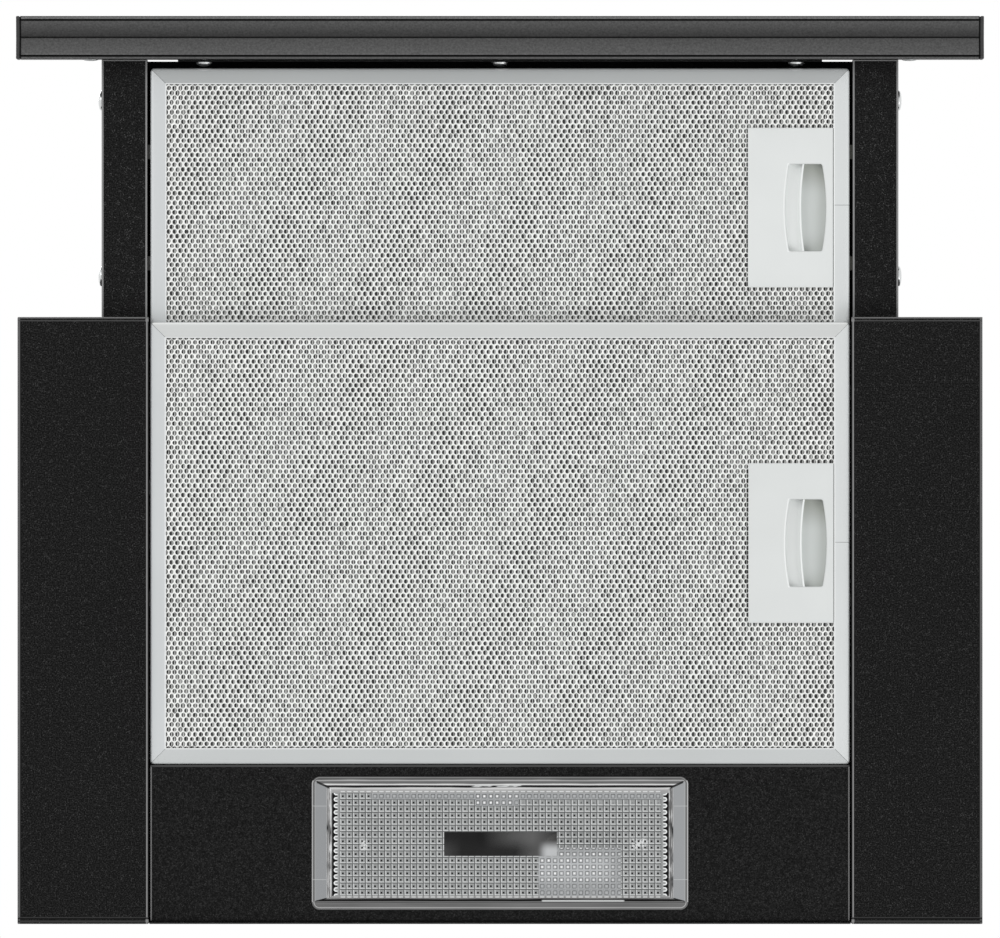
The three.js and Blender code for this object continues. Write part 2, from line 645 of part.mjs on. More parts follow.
// Finger recess in plan: a rectangle whose long sides bulge out, grown by a margin.
function recessOutline(margin) {
  const [halfX, halfY] = [RECESS_WIDTH / 2 + margin, RECESS_LENGTH / 2 + margin];
  const bulge = RECESS_BULGE * 2;
  const shape = new THREE.Shape();
  shape.moveTo(halfX - RECESS_BULGE, -halfY);
  shape.quadraticCurveTo(halfX - RECESS_BULGE + bulge, 0, halfX - RECESS_BULGE, halfY);
  shape.lineTo(-halfX + RECESS_BULGE, halfY);
  shape.quadraticCurveTo(-halfX + RECESS_BULGE - bulge, 0, -halfX + RECESS_BULGE, -halfY);
  shape.closePath();
  return shape;
}

// The slider's rib in plan, bowed as the recess's left side is.
function ribOutline() {
  const halfY = RECESS_LENGTH / 2 - SLIDER_SIDE;
  const [left, right] = [-SLIDER_RIB / 2, SLIDER_RIB / 2].map((x) => x + SLIDER_RIB_BULGE);
  const shape = new THREE.Shape();
  shape.moveTo(right, -halfY);
  shape.quadraticCurveTo(right - 2 * SLIDER_RIB_BULGE, 0, right, halfY);
  shape.lineTo(left, halfY);
  shape.quadraticCurveTo(left - 2 * SLIDER_RIB_BULGE, 0, left, -halfY);
  shape.closePath();
  return shape;
}

// One filter with its latch, in its own frame: middle of its underside at the origin, latch at +x.
// `tongueEnd` and `tabEnd` are how far the tongues and tabs reach from the middle, and
// `tabLift` is the tabs' underside.
function addFilter(group, name, { width, depth, tongueEnd, tabEnd, tabLift }) {
  const half = { x: width / 2, y: depth / 2 };
  const barInner = half.x - FILTER_BAR;
  const latchRight = barInner - GAP;
  const latchLeft = latchRight - LATCH_WIDTH;
  const tongue = [SLIDER_LIFT, SLIDER_LIFT + SLIDER_SHEET];
  const top = FILTER_THICKNESS;
  const inset = (by, z) => block([by - half.x, half.x - by], [by - half.y, half.y - by], z);

  // Frame: a channel bent round the mesh, with tabs on its left bar.
  const opening = inset(FILTER_BAR, [-PAST, top + PAST]);
  const groove = inset(FILTER_SHEET, [FILTER_SHEET, top - FILTER_SHEET]);
  const slots = tongueSlots(barInner - PAST, half.x + PAST);
  const ring = cut(inset(0, [0, top]), [opening, groove, ...slots]);
  const tabs = tonguePlaces().map((y) =>
    block(
      [-tabEnd, FILTER_SHEET / 2 - half.x],
      [y - TONGUE_WIDTH / 2, y + TONGUE_WIDTH / 2],
      [tabLift, tabLift + TAB_THICKNESS],
    ),
  );
  add(group, `${name}_frame`, joined([ring, ...tabs]), ALUMINIUM);

  // Mesh, with room for the latch housing.
  const wallLeft = latchLeft + LATCH_RIM;
  const wallRight = latchRight - LATCH_RIM;
  const wallHalf = LATCH_LENGTH / 2 - LATCH_RIM;
  const wallTop = top - FILTER_SHEET - GAP;
  const seat = FILTER_SHEET + GAP;
  const pack = inset(seat, [seat, seat + MESH_THICKNESS]);
  const latchRoom = block([wallLeft - GAP, wallRight + GAP], [-wallHalf - GAP, wallHalf + GAP], [-PAST, top]);
  add(group, `${name}_mesh`, cut(pack, [latchRoom]), ALUMINIUM);

  // Latch housing: a plate with the finger recess, four walls, and a guide round the recess.
  const recessMiddle = latchRight - RECESS_MARGIN - RECESS_WIDTH / 2;
  const recess = (margin, z) => prism("z", recessOutline(margin), z, 8).translate([recessMiddle, 0, 0]);
  const plate = block([latchLeft, latchRight], [-LATCH_LENGTH / 2, LATCH_LENGTH / 2], [0, LATCH_PLATE]);
  const walls = cut(block([wallLeft, wallRight], [-wallHalf, wallHalf], [LATCH_PLATE / 2, wallTop]), [
    block(
      [wallLeft + LATCH_WALL, wallRight - LATCH_WALL],
      [-wallHalf + LATCH_WALL, wallHalf - LATCH_WALL],
      [LATCH_PLATE / 2 - PAST, wallTop + PAST],
    ),
  ]);
  const guide = recess(LATCH_WALL, [LATCH_PLATE / 2, SLIDER_LIFT - GAP]);
  const housing = cut(joined([plate, walls, guide]), [
    recess(0, [-PAST, top]),
    ...tongueSlots(wallRight - 2 * LATCH_WALL, wallRight + PAST),
  ]);
  add(group, `${name}_latch_plate`, housing, PALE_PLASTIC);

  // Slider: it roofs the recess, its rib hangs in it, and its tongues pass through the bar.
  const sliderRight = latchRight - SLIDER_END - GAP;
  const sliderLeft = sliderRight - SLIDER_SPAN;
  const sliderHalf = wallHalf - LATCH_WALL - SLIDER_SIDE;
  const rib = prism("z", ribOutline(), [LATCH_PLATE / 2, SLIDER_LIFT + SLIDER_SHEET / 2], 8);
  const slider = joined([
    block([sliderLeft, sliderRight], [-sliderHalf, sliderHalf], tongue),
    rib.translate([latchRight - RECESS_MARGIN - SLIDER_RIB_BACK, 0, 0]),
    ...tonguePlaces().map((y) =>
      block([sliderRight - 1, tongueEnd], [y - TONGUE_WIDTH / 2, y + TONGUE_WIDTH / 2], tongue),
    ),
  ]);
  add(group, `${name}_latch_slider`, slider, PALE_PLASTIC);

  // Return spring between the housing's left wall and the slider.
  const springStart = wallLeft + LATCH_WALL + GAP;
  const spring = coil(sliderLeft - GAP - springStart);
  const springPlace = [springStart, 0, SLIDER_LIFT + SLIDER_SHEET / 2];
  add(group, `${name}_latch_spring`, spring, SPRING_STEEL, springPlace);
}

// A coil spring along x, its wire a closed tube, as long as stated over its end turns.
function coil(length) {
  class Helix extends THREE.Curve {
    getPoint(t) {
      const angle = 2 * Math.PI * SPRING_TURNS * t;
      const x = SPRING_WIRE + t * (length - 2 * SPRING_WIRE);
      return new THREE.Vector3(x, SPRING_RADIUS * Math.cos(angle), SPRING_RADIUS * Math.sin(angle));
    }
  }
  const wire = new THREE.Shape();
  wire.absarc(0, 0, SPRING_WIRE, 0, 2 * Math.PI);
  const steps = SPRING_TURNS * 8;
  return solid(new THREE.ExtrudeGeometry(wire, { steps, extrudePath: new Helix(), curveSegments: 2 }));
}

// ---------------------------------------------------------------- Lamp

function addLampPanel(group) {
  const half = CASING_INNER - REAR_FILTER_SIDE;
  const foldTop = LAMP_PANEL_LIFT + LAMP_PANEL_FOLD;
  const tray = block([-half, half], [LAMP_PANEL_FRONT, LAMP_PANEL_BACK], [LAMP_PANEL_LIFT, foldTop]);
  const inside = block(
    [SHEET - half, half - SHEET],
    [LAMP_PANEL_FRONT + SHEET, LAMP_PANEL_BACK - SHEET],
    [LAMP_PANEL_TOP, foldTop + PAST],
  );
  const edge = LAMP_SNAP_INSET - LAMP_SNAP_CLEARANCE;
  const opening = block(
    [edge - LAMP_COVER_WIDTH / 2, LAMP_COVER_WIDTH / 2 - edge],
    [LAMP_Y + edge - LAMP_COVER_DEPTH / 2, LAMP_Y + LAMP_COVER_DEPTH / 2 - edge],
    [LAMP_PANEL_LIFT - PAST, LAMP_PANEL_TOP + PAST],
  );
  add(group, "lamp_panel", cut(tray, [inside, opening]), BLACK_COAT);
}

// A frustum: a rectangle at the rim's height drawn in by a slope at the face's height.
function slopedTray(inset, faceZ, rimZ) {
  const [x, y] = [LAMP_COVER_WIDTH / 2 - inset, LAMP_COVER_DEPTH / 2 - inset];
  const geometry = new THREE.BoxGeometry(2 * x, 2 * y, rimZ - faceZ).translate(0, 0, (rimZ + faceZ) / 2);
  const corners = geometry.attributes.position;
  for (let i = 0; i < corners.count; i += 1) {
    if (corners.getZ(i) < (rimZ + faceZ) / 2) {
      corners.setX(i, corners.getX(i) - Math.sign(corners.getX(i)) * LAMP_COVER_SLOPE.x);
      corners.setY(i, corners.getY(i) - Math.sign(corners.getY(i)) * LAMP_COVER_SLOPE.y);
    }
  }
  return solid(geometry);
}

function addLampCover(group) {
  const rim = LAMP_PANEL_LIFT - GAP;
  const face = rim - LAMP_COVER_RISE;
  const tray = slopedTray(0, face, rim);
  const snapX = LAMP_COVER_WIDTH / 2 - LAMP_SNAP_INSET;
  const snapY = LAMP_COVER_DEPTH / 2 - LAMP_SNAP_INSET;
  const snapTop = rim + LAMP_SNAP_HEIGHT;
  const shell = LAMP_COVER_SHELL;
  const snap = block([-snapX, snapX], [-snapY, snapY], [rim - shell / 2, snapTop]);
  const upper = block([shell - snapX, snapX - shell], [shell - snapY, snapY - shell], [rim, snapTop + PAST]);
  const lower = slopedTray(LAMP_SNAP_INSET + shell, face + shell, rim + shell);
  add(group, "lamp_cover", cut(tray.add(snap), [upper, lower]), CLEAR_PLASTIC);
}

function addLamp(group) {
  const outer = { x: LAMP_COVER_WIDTH / 2, y: LAMP_COVER_DEPTH / 2 };
  const bottom = LAMP_PANEL_TOP + GAP;
  const top = bottom + REFLECTOR_HEIGHT;
  const shell = block([-outer.x, outer.x], [-outer.y, outer.y], [bottom, top]);
  const flange = block(
    [-outer.x - REFLECTOR_FLANGE, outer.x + REFLECTOR_FLANGE],
    [-outer.y - REFLECTOR_FLANGE, outer.y + REFLECTOR_FLANGE],
    [bottom, bottom + REFLECTOR_SHEET],
  );
  const inside = block(
    [REFLECTOR_SHEET - outer.x, outer.x - REFLECTOR_SHEET],
    [REFLECTOR_SHEET - outer.y, outer.y - REFLECTOR_SHEET],
    [bottom - PAST, top - REFLECTOR_SHEET],
  );
  add(group, "lamp_reflector", cut(shell.add(flange), [inside]), ALUMINIUM);

  const middle = (bottom + top) / 2;
  const holderEnd = outer.x - REFLECTOR_SHEET - GAP;
  const holderFront = holderEnd - HOLDER_LENGTH;
  const bore = rod("x", BULB_BASE_RADIUS + HOLDER_BORE, [-PAST, BULB_BASE_LENGTH], 32);
  const holder = rod("x", HOLDER_RADIUS, [0, HOLDER_LENGTH], 32).subtract(bore);
  add(group, "lamp_holder", holder, WHITE_PLASTIC, [holderFront, BULB_BACK, middle]);

  const profile = [
    [0, -BULB_LENGTH],
    [BULB_RADIUS * 0.3, -BULB_LENGTH * 0.97],
    [BULB_RADIUS * 0.62, -BULB_LENGTH * 0.85],
    [BULB_RADIUS * 0.93, -BULB_LENGTH * 0.62],
    [BULB_RADIUS, -BULB_LENGTH * 0.45],
    [BULB_RADIUS * 0.88, -BULB_LENGTH * 0.22],
    [BULB_BASE_RADIUS * 1.25, 0],
    [BULB_BASE_RADIUS, 0],
    [BULB_BASE_RADIUS, BULB_BASE_LENGTH],
    [0, BULB_BASE_LENGTH],
  ];
  add(group, "lamp_bulb", turned("x", profile, 24), LAMP_GLASS, [holderFront - GAP, BULB_BACK, middle]);
}

// ---------------------------------------------------------------- Blower

// Scroll in plan as [x, y] about the wheel: a spiral from the cut-off round to the outlet, then
// the straight-sided outlet chamber behind it.
function scrollOutline(inset) {
  const steps = 28;
  const spiral = Array.from({ length: steps + 1 }, (_, i) => {
    const angle = THREE.MathUtils.degToRad(SCROLL_CUTOFF + ((360 - SCROLL_CUTOFF) * i) / steps);
    const radius = SCROLL_START + ((SCROLL_END - SCROLL_START) * i) / steps - inset;
    return [radius * Math.cos(angle), radius * Math.sin(angle)];
  });
  const right = SCROLL_END - inset;
  const left = -FAN_X - SCROLL_OUTLET + inset;
  const back = FAN_FORWARD + SCROLL_OUTLET - inset;
  const behind = SCROLL_START + INLET_LIP - inset;
  return [...spiral, [right, back], [left, back], [left, behind]];
}

// Blower housing in three pieces: a floor with a bellmouth, a wall bent round the wheel, a cover.
function addBlower(group) {
  const plan = (inset, z) => prism("z", scrollOutline(inset), z);
  const inletZ = [SCROLL_BOTTOM - INLET_LIP, SCROLL_FLOOR_TOP + INLET_LIP - GAP];
  const bellmouth = rod("z", INLET_RADIUS + SCROLL_SHEET, inletZ);
  const inlet = rod("z", INLET_RADIUS, [inletZ[0] - PAST, inletZ[1] + PAST]);
  const floor = plan(0, [SCROLL_BOTTOM, SCROLL_FLOOR_TOP]).add(bellmouth);
  add(group, "scroll_floor", floor.subtract(inlet), DARK_PLASTIC);

  const hollow = plan(SCROLL_SHEET, [SCROLL_BOTTOM, SCROLL_TOP + PAST]);
  const wall = plan(0, [SCROLL_FLOOR_TOP + GAP, SCROLL_TOP]).subtract(hollow);
  add(group, "scroll_wall", wall, DARK_PLASTIC);

  const collarHole = rod("z", COLLAR_INNER, [SCROLL_TOP, BOX_TOP]).translate([-FAN_X, FAN_FORWARD, 0]);
  const cover = plan(0, [SCROLL_COVER_BOTTOM, SCROLL_COVER_TOP]);
  add(group, "scroll_cover", cover.subtract(collarHole), DARK_PLASTIC);
}

// Wheel's disc: a flat ring with a dish for the motor and a hub.
function fanDisc() {
  const rim = WHEEL_RADIUS;
  const dish = MOTOR_RADIUS + MOTOR_RIM;
  const bore = SHAFT_RADIUS + SHAFT_BORE;
  const hub = bore + 2 * SHAFT_RADIUS;
  const skin = WHEEL_PLATE;
  return turned("z", [
    [rim, WHEEL_TOP],
    [dish, WHEEL_TOP],
    [dish, DISH_FLOOR],
    [bore, DISH_FLOOR],
    [bore, DISH_FLOOR - 2 * NUT_HEIGHT],
    [hub, DISH_FLOOR - 2 * NUT_HEIGHT],
    [hub, DISH_FLOOR - skin],
    [dish + skin, DISH_FLOOR - skin],
    [dish + skin, WHEEL_TOP - skin],
    [rim, WHEEL_TOP - skin],
  ]);
}

// Wheel's blades: forward-curved, between two rings, under the disc.
function bladeRing() {
  const rim = WHEEL_RADIUS;
  const root = WHEEL_RADIUS - BLADE_DEPTH;
  const skin = WHEEL_PLATE;
  const rings = [
    pipe("z", rim - skin, rim, [WHEEL_BOTTOM, WHEEL_BOTTOM + 2 * skin]),
    pipe("z", rim - skin, rim, [BLADE_TOP - 2 * skin, BLADE_TOP]),
  ];
  const at = (radius, turn) => [radius * Math.cos(turn), radius * Math.sin(turn)];
  const thick = BLADE_SHEET / WHEEL_RADIUS;
  const middle = (rim + root) / 2;
  const bladeEnd = rim - skin / 2;
  const lead = BLADE_TURN * BLADE_BEND;
  const blade = [
    at(root, 0),
    at(middle, lead),
    at(bladeEnd, BLADE_TURN),
    at(bladeEnd, BLADE_TURN + thick),
    at(middle, lead + thick),
    at(root, thick),
  ];
  const blades = Array.from({ length: BLADE_COUNT }, (_, i) =>
    prism("z", blade, [WHEEL_BOTTOM + skin, BLADE_TOP - skin]).rotate([0, 0, (360 * i) / BLADE_COUNT]),
  );
  return joined([...rings, ...blades]);
}

function addMotor(group) {
  const boreEnds = [MOTOR_BOTTOM - PAST, MOTOR_BOTTOM + SHAFT_IN_MOTOR + GAP];
  const bore = rod("z", SHAFT_RADIUS + SHAFT_BORE, boreEnds, 24);
  const can = turned("z", [
    [0, MOTOR_BOTTOM],
    [MOTOR_RADIUS * 0.45, MOTOR_BOTTOM],
    [MOTOR_RADIUS * 0.55, MOTOR_BOTTOM + MOTOR_RIM],
    [MOTOR_RADIUS * 0.94, MOTOR_BOTTOM + MOTOR_RIM],
    [MOTOR_RADIUS, MOTOR_BOTTOM + 2 * MOTOR_RIM],
    [MOTOR_RADIUS, MOTOR_TOP],
    [0, MOTOR_TOP],
  ]);
  add(group, "motor_housing", can.subtract(bore), ZINC);
}

function addWheel(group) {
  add(group, "fan_disc", fanDisc(), DARK_PLASTIC);
  add(group, "fan_blades", bladeRing(), DARK_PLASTIC);
  const shaftTop = MOTOR_BOTTOM + SHAFT_IN_MOTOR;
  add(group, "motor_shaft", rod("z", SHAFT_RADIUS, [shaftTop - SHAFT_LENGTH, shaftTop], 24), SPRING_STEEL);
  const nutTop = DISH_FLOOR - 2 * NUT_HEIGHT - GAP;
  const nut = rod("z", NUT_RADIUS, [nutTop - NUT_HEIGHT, nutTop], 6);
  const thread = rod("z", SHAFT_RADIUS + SHAFT_BORE, [nutTop - NUT_HEIGHT - PAST, nutTop + PAST], 24);
  add(group, "shaft_nut", nut.subtract(thread), ZINC);
}

function addElectrics(group) {
  const boxWall = BOX_WIDTH / 2 - SHEET;
  const capacitor = rod("y", CAPACITOR_RADIUS, [-CAPACITOR_LENGTH / 2, CAPACITOR_LENGTH / 2], 28);
  const capacitorX = boxWall - GAP - CAPACITOR_RADIUS;
  const place = [capacitorX, BOX_Y - CAPACITOR_FORWARD, DECK_TOP + CAPACITOR_LIFT];
  add(group, "capacitor", capacitor, WHITE_PLASTIC, place);

  const { width, depth, height } = TERMINAL_BOX;
  const bottom = BOX_TOP + GAP;
  const back = BOX_BACK - BOX_CORNER;
  const boxSide = TERMINAL_BOX_X + width / 2;
  const box = block([boxSide - width, boxSide], [back - depth, back], [bottom, bottom + height]);
  const glandY = back - depth / 2;
  const glandZ = bottom + height / 2;
  const glandHole = rod("x", GLAND_HOLE, [boxSide - GLAND_LENGTH, boxSide + PAST], 24);
  add(group, "terminal_box", box.subtract(glandHole.translate([0, glandY, glandZ])), DARK_PLASTIC);

  const gland = turned("x", [
    [GLAND_HOLE, 0],
    [GLAND_RADIUS, 0],
    [GLAND_RADIUS, GLAND_LENGTH * 0.5],
    [GLAND_RADIUS * 0.8, GLAND_LENGTH * 0.6],
    [GLAND_RADIUS * 0.7, GLAND_LENGTH],
    [GLAND_HOLE, GLAND_LENGTH],
  ], 24);
  add(group, "cable_gland", gland, DARK_PLASTIC, [boxSide + GAP, glandY, glandZ]);
}

// ---------------------------------------------------------------- Duct collar and flaps

const LEDGE_TOP = COLLAR_BOTTOM + FLAP_LEDGE_HEIGHT;
const FLAP_BOTTOM = LEDGE_TOP + GAP;
const PIN_HEIGHT = FLAP_BOTTOM + FLAP_SHEET / 2 + FLAP_PIN_RADIUS;
const KNUCKLE_INNER = FLAP_PIN_RADIUS + GAP;
const KNUCKLE_OUTER = KNUCKLE_INNER + FLAP_KNUCKLE;
const FLAP_RADIUS = COLLAR_INNER - GAP;
const COLLAR_SIDES = 52;

// In the collar's own frame: its axis through the origin, z as in the hood.
function addCollar(group) {
  const outer = COLLAR_RADIUS;
  const flangeTop = COLLAR_BOTTOM + COLLAR_FLANGE_SHEET;
  const sleeve = turned("z", [
    [COLLAR_INNER - FLAP_LEDGE, COLLAR_BOTTOM],
    [outer + COLLAR_FLANGE, COLLAR_BOTTOM],
    [outer + COLLAR_FLANGE, flangeTop],
    [outer, flangeTop],
    [outer, COLLAR_BOTTOM + COLLAR_HEIGHT],
    [COLLAR_INNER, COLLAR_BOTTOM + COLLAR_HEIGHT],
    [COLLAR_INNER, LEDGE_TOP],
    [COLLAR_INNER - FLAP_LEDGE, LEDGE_TOP],
  ], COLLAR_SIDES);
  const bridge = block(
    [1 - COLLAR_INNER, COLLAR_INNER - 1],
    [-FLAP_LEDGE / 2, FLAP_LEDGE / 2],
    [COLLAR_BOTTOM, PIN_HEIGHT - KNUCKLE_OUTER - GAP],
  );
  add(group, "duct_collar", sleeve.add(bridge), BLACK_COAT);
  const pin = rod("x", FLAP_PIN_RADIUS, [GAP - COLLAR_INNER, COLLAR_INNER - GAP], 16);
  add(group, "flap_pin", pin, SPRING_STEEL, [0, 0, PIN_HEIGHT]);
}

// A half-round flap in the collar's frame. `side` is -1 in front of the pin and 1 behind it.
function flap(side) {
  const disc = rod("z", FLAP_RADIUS, [FLAP_BOTTOM, FLAP_BOTTOM + FLAP_SHEET], COLLAR_SIDES);
  const edge = KNUCKLE_OUTER + GAP;
  const reach = FLAP_RADIUS + PAST;
  const span = (a, b) => [Math.min(side * a, side * b), Math.max(side * a, side * b)];
  const behind = block([-reach, reach], span(edge, reach), [FLAP_BOTTOM - PAST, FLAP_BOTTOM + PAST]);
  const half = disc.intersect(behind);
  const offset = side > 0 ? FLAP_KNUCKLE_STEP : 0;
  const hole = rod("x", KNUCKLE_INNER, [-reach, reach], 20).translate([0, 0, PIN_HEIGHT]);
  const knuckles = FLAP_KNUCKLE_PLACES.map((place) => {
    const ends = [place + offset, place + offset + FLAP_KNUCKLE_LENGTH];
    const barrel = rod("x", KNUCKLE_OUTER, ends, 20).translate([0, 0, PIN_HEIGHT]);
    return barrel.add(block(ends, span(0, edge + FLAP_SHEET), [FLAP_BOTTOM, FLAP_BOTTOM + FLAP_SHEET]));
  });
  return joined([half, ...knuckles]).subtract(hole);
}

// ---------------------------------------------------------------- Switches

// Plate in the right casing's front, with two slots one above the other.
function addSwitches(group) {
  const slotZ = [1, 0].map(
    (row) => SWITCH_PLATE_LIFT + SWITCH_PLATE_HEIGHT / 2 + (row - 0.5) * SWITCH_SLOT.step,
  );
  const halfWidth = SWITCH_SLOT.width / 2;
  const slots = slotZ.map((z) =>
    block(
      [SWITCH_PLATE_X - halfWidth, SWITCH_PLATE_X + halfWidth],
      [BODY_FRONT - PAST, BODY_FRONT + SWITCH_SLOT.depth],
      [z - SWITCH_SLOT.height / 2, z + SWITCH_SLOT.height / 2],
    ),
  );
  add(group, "switch_plate", cut(switchOpening(0), slots), DARK_PLASTIC);

  const knobStart = SWITCH_PLATE_X - halfWidth + GAP;
  ["speed_switch_knob", "lamp_switch_knob"].forEach((name, i) => {
    const halfHeight = SWITCH_SLOT.height / 2 - GAP;
    const seat = BODY_FRONT + SWITCH_SLOT.depth - GAP;
    const knob = block(
      [knobStart, knobStart + SWITCH_KNOB_WIDTH],
      [seat - SWITCH_KNOB_DEPTH, seat],
      [slotZ[i] - halfHeight, slotZ[i] + halfHeight],
    );
    add(group, name, knob, SWITCH_MARK);
  });
}

// ---------------------------------------------------------------- Assembly

const hood = new THREE.Group();

const body = subgroup(hood);
addCasings(body);
addSheets(body);
addMotorBox(subgroup(body, [0, BOX_Y, 0]));
addPair(body, "rail", rail(), ZINC);
addLampPanel(body);
addSwitches(body);
addElectrics(body);

const lamp = subgroup(body, [0, LAMP_Y, 0]);
addLamp(lamp);
addLampCover(lamp);

const blower = subgroup(body, [FAN_X, FAN_Y, 0]);
addBlower(blower);
addMotor(blower);
addWheel(blower);

const duct = subgroup(body, [0, COLLAR_Y, 0]);
addCollar(duct);
add(duct, "front_flap", flap(-1), ZINC);
add(duct, "rear_flap", flap(1), ZINC);

const rearFilter = subgroup(body, [0, REAR_FILTER_Y, REAR_FILTER_LIFT]);
addFilter(rearFilter, "rear_filter", {
  width: 2 * (CASING_INNER - REAR_FILTER_SIDE),
  depth: REAR_FILTER_DEPTH,
  tongueEnd: CASING_INNER - GAP,
  tabEnd: CASING_INNER - REAR_FILTER_SIDE + TAB_REACH,
  tabLift: CASING_LIP + GAP - REAR_FILTER_LIFT,
});

const drawer = subgroup(hood);
addStrip(drawer);
addDrawerFrame(drawer);
addFasteners(drawer);
const frontFilter = subgroup(drawer, [0, FRONT_FILTER_Y, FRONT_FILTER_BOTTOM]);
addFilter(frontFilter, "front_filter", {
  width: 2 * (ARM_INNER - FRONT_FILTER_SIDE),
  depth: FRONT_FILTER_DEPTH,
  tongueEnd: ARM_INNER + SHEET + TONGUE_BITE,
  tabEnd: ARM_INNER + SHEET + TONGUE_BITE,
  tabLift: SLIDER_LIFT,
});

export default hood;
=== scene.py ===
"""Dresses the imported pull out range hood: its shapes, finishes, light and camera.

Lengths are in millimetres until a mesh is made, which is in metres. The hood's front is towards
-Y, its duct is up, and the photograph looks straight up at its underside.
"""

import logging
import math
from collections.abc import Sequence
from dataclasses import dataclass, field
from enum import Enum
from typing import Any

import bmesh
import bpy
import numpy as np
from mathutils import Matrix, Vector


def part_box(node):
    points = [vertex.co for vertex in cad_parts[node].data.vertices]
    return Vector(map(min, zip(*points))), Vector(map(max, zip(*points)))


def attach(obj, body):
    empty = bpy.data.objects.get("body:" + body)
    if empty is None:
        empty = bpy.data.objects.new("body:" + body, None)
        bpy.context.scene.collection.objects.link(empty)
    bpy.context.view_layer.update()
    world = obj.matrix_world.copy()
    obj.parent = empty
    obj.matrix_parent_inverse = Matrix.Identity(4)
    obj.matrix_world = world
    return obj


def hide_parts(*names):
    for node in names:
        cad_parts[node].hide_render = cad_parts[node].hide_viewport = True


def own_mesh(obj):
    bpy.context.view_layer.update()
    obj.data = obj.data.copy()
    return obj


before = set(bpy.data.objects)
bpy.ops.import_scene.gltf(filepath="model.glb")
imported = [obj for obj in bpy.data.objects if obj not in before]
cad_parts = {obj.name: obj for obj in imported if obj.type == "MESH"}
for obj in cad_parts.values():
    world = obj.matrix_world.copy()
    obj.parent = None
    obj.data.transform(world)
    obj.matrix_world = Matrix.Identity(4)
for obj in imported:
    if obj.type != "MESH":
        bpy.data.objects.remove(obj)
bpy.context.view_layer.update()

MM = 0.001
WELD = 0.002  # mm between vertices that become one
FLAT = 0.2  # degrees between faces that become one
ROUND_ANGLE = 50  # degrees that stay smooth on turned pieces
Array = np.ndarray
Colour = tuple[float, float, float]
Material = bpy.types.Material
log = logging.getLogger("range_hood")


# ---------------- Surfaces


@dataclass(frozen=True)
class Shell:
    """A surface: vertices in millimetres, and arrays of faces with one corner count each."""

    vertices: Array
    faces: tuple[Array, ...]

    def moved(self, x: float = 0, y: float = 0, z: float = 0) -> "Shell":
        """The same surface somewhere else."""
        return Shell(self.vertices + np.array([x, y, z], float), self.faces)

    def mirrored(self) -> "Shell":
        """The same surface on the other side of x = 0, its faces turned to point outwards."""
        return Shell(self.vertices * [-1, 1, 1], tuple(f[:, ::-1] for f in self.faces))


def joined(shells: Sequence[Shell]) -> Shell:
    """Several surfaces as one.

    Args:
        shells: the surfaces.

    Returns:
        One surface with all of their vertices and faces.
    """
    starts = np.cumsum([0] + [len(s.vertices) for s in shells[:-1]])
    faces = tuple(f + start for s, start in zip(shells, starts) for f in s.faces)
    return Shell(np.concatenate([s.vertices for s in shells]), faces)


def grid(points: Array, wrap_rows: bool = False, wrap_columns: bool = False) -> Shell:
    """A surface on a grid: each square of four neighbouring points is one face.

    Args:
        points: rows x columns x 3.
        wrap_rows: the last row joins the first.
        wrap_columns: the last column joins the first.

    Returns:
        The surface.
    """
    rows, columns = points.shape[:2]
    i = np.arange(rows if wrap_rows else rows - 1)[:, None]
    j = np.arange(columns if wrap_columns else columns - 1)[None, :]
    i2, j2 = (i + 1) % rows, (j + 1) % columns
    quads = np.stack(
        [i * columns + j, i * columns + j2, i2 * columns + j2, i2 * columns + j], -1
    )
    return Shell(points.reshape(-1, 3), (quads.reshape(-1, 4),))


AXES = {"x": (2, 0, 1), "y": (1, 2, 0), "z": (0, 1, 2)}


def along(axis: str, flat: Array, reach: Array) -> Array:
    """Points given across and along an axis, as x, y, z.

    Args:
        axis: the axis that the third number runs along.
        flat: (..., 2) numbers across the axis: (y, z) for x, (z, x) for y, (x, y) for z.
        reach: (...) numbers along it.

    Returns:
        (..., 3) points.
    """
    raw = np.concatenate([flat, reach[..., None]], -1)
    return raw[..., list(AXES[axis])]


def extruded(axis: str, outline: Array, start: float, end: float) -> Shell:
    """A closed outline carried straight along an axis, with a flat cap at each end.

    Args:
        axis: the axis it is carried along.
        outline: (n, 2) points, anticlockwise seen from the axis's positive end.
        start: where it starts.
        end: where it ends.

    Returns:
        The closed surface.
    """
    count = len(outline)
    rows = np.stack([along(axis, outline, np.full(count, at)) for at in (start, end)])
    side = grid(rows, wrap_columns=True)
    caps = np.arange(count)
    return Shell(side.vertices, (*side.faces, caps[None, ::-1], caps[None] + count))


def turned(axis: str, profile: Array, segments: int = 48) -> Shell:
    """A profile turned about an axis; where its radius is 0 the surface closes on a pole.

    Args:
        axis: the axis.
        profile: (n, 2) radii and heights, from low to high with the surface outside.
        segments: points round the axis.

    Returns:
        The surface.
    """
    angle = np.linspace(0, 2 * np.pi, segments, endpoint=False)
    radius, height = profile[:, :1], profile[:, 1:]
    flat = np.stack([radius * np.cos(angle), radius * np.sin(angle)], -1)
    return grid(
        along(axis, flat, np.broadcast_to(height, (len(profile), segments))),
        wrap_columns=True,
    )


def arc(
    centre: tuple[float, float], radius: float, start: float, end: float, count: int
) -> Array:
    """Points on a circular arc.

    Args:
        centre: its centre.
        radius: its radius.
        start: first angle in degrees.
        end: last angle in degrees.
        count: how many points.

    Returns:
        (count, 2) points: the centre plus the radius times (cosine, sine) of the angle.
    """
    angle = np.radians(np.linspace(start, end, count))
    return np.array(centre) + radius * np.stack([np.cos(angle), np.sin(angle)], -1)


LONGEST_ROUNDING = 0.49  # of the side that it lies on


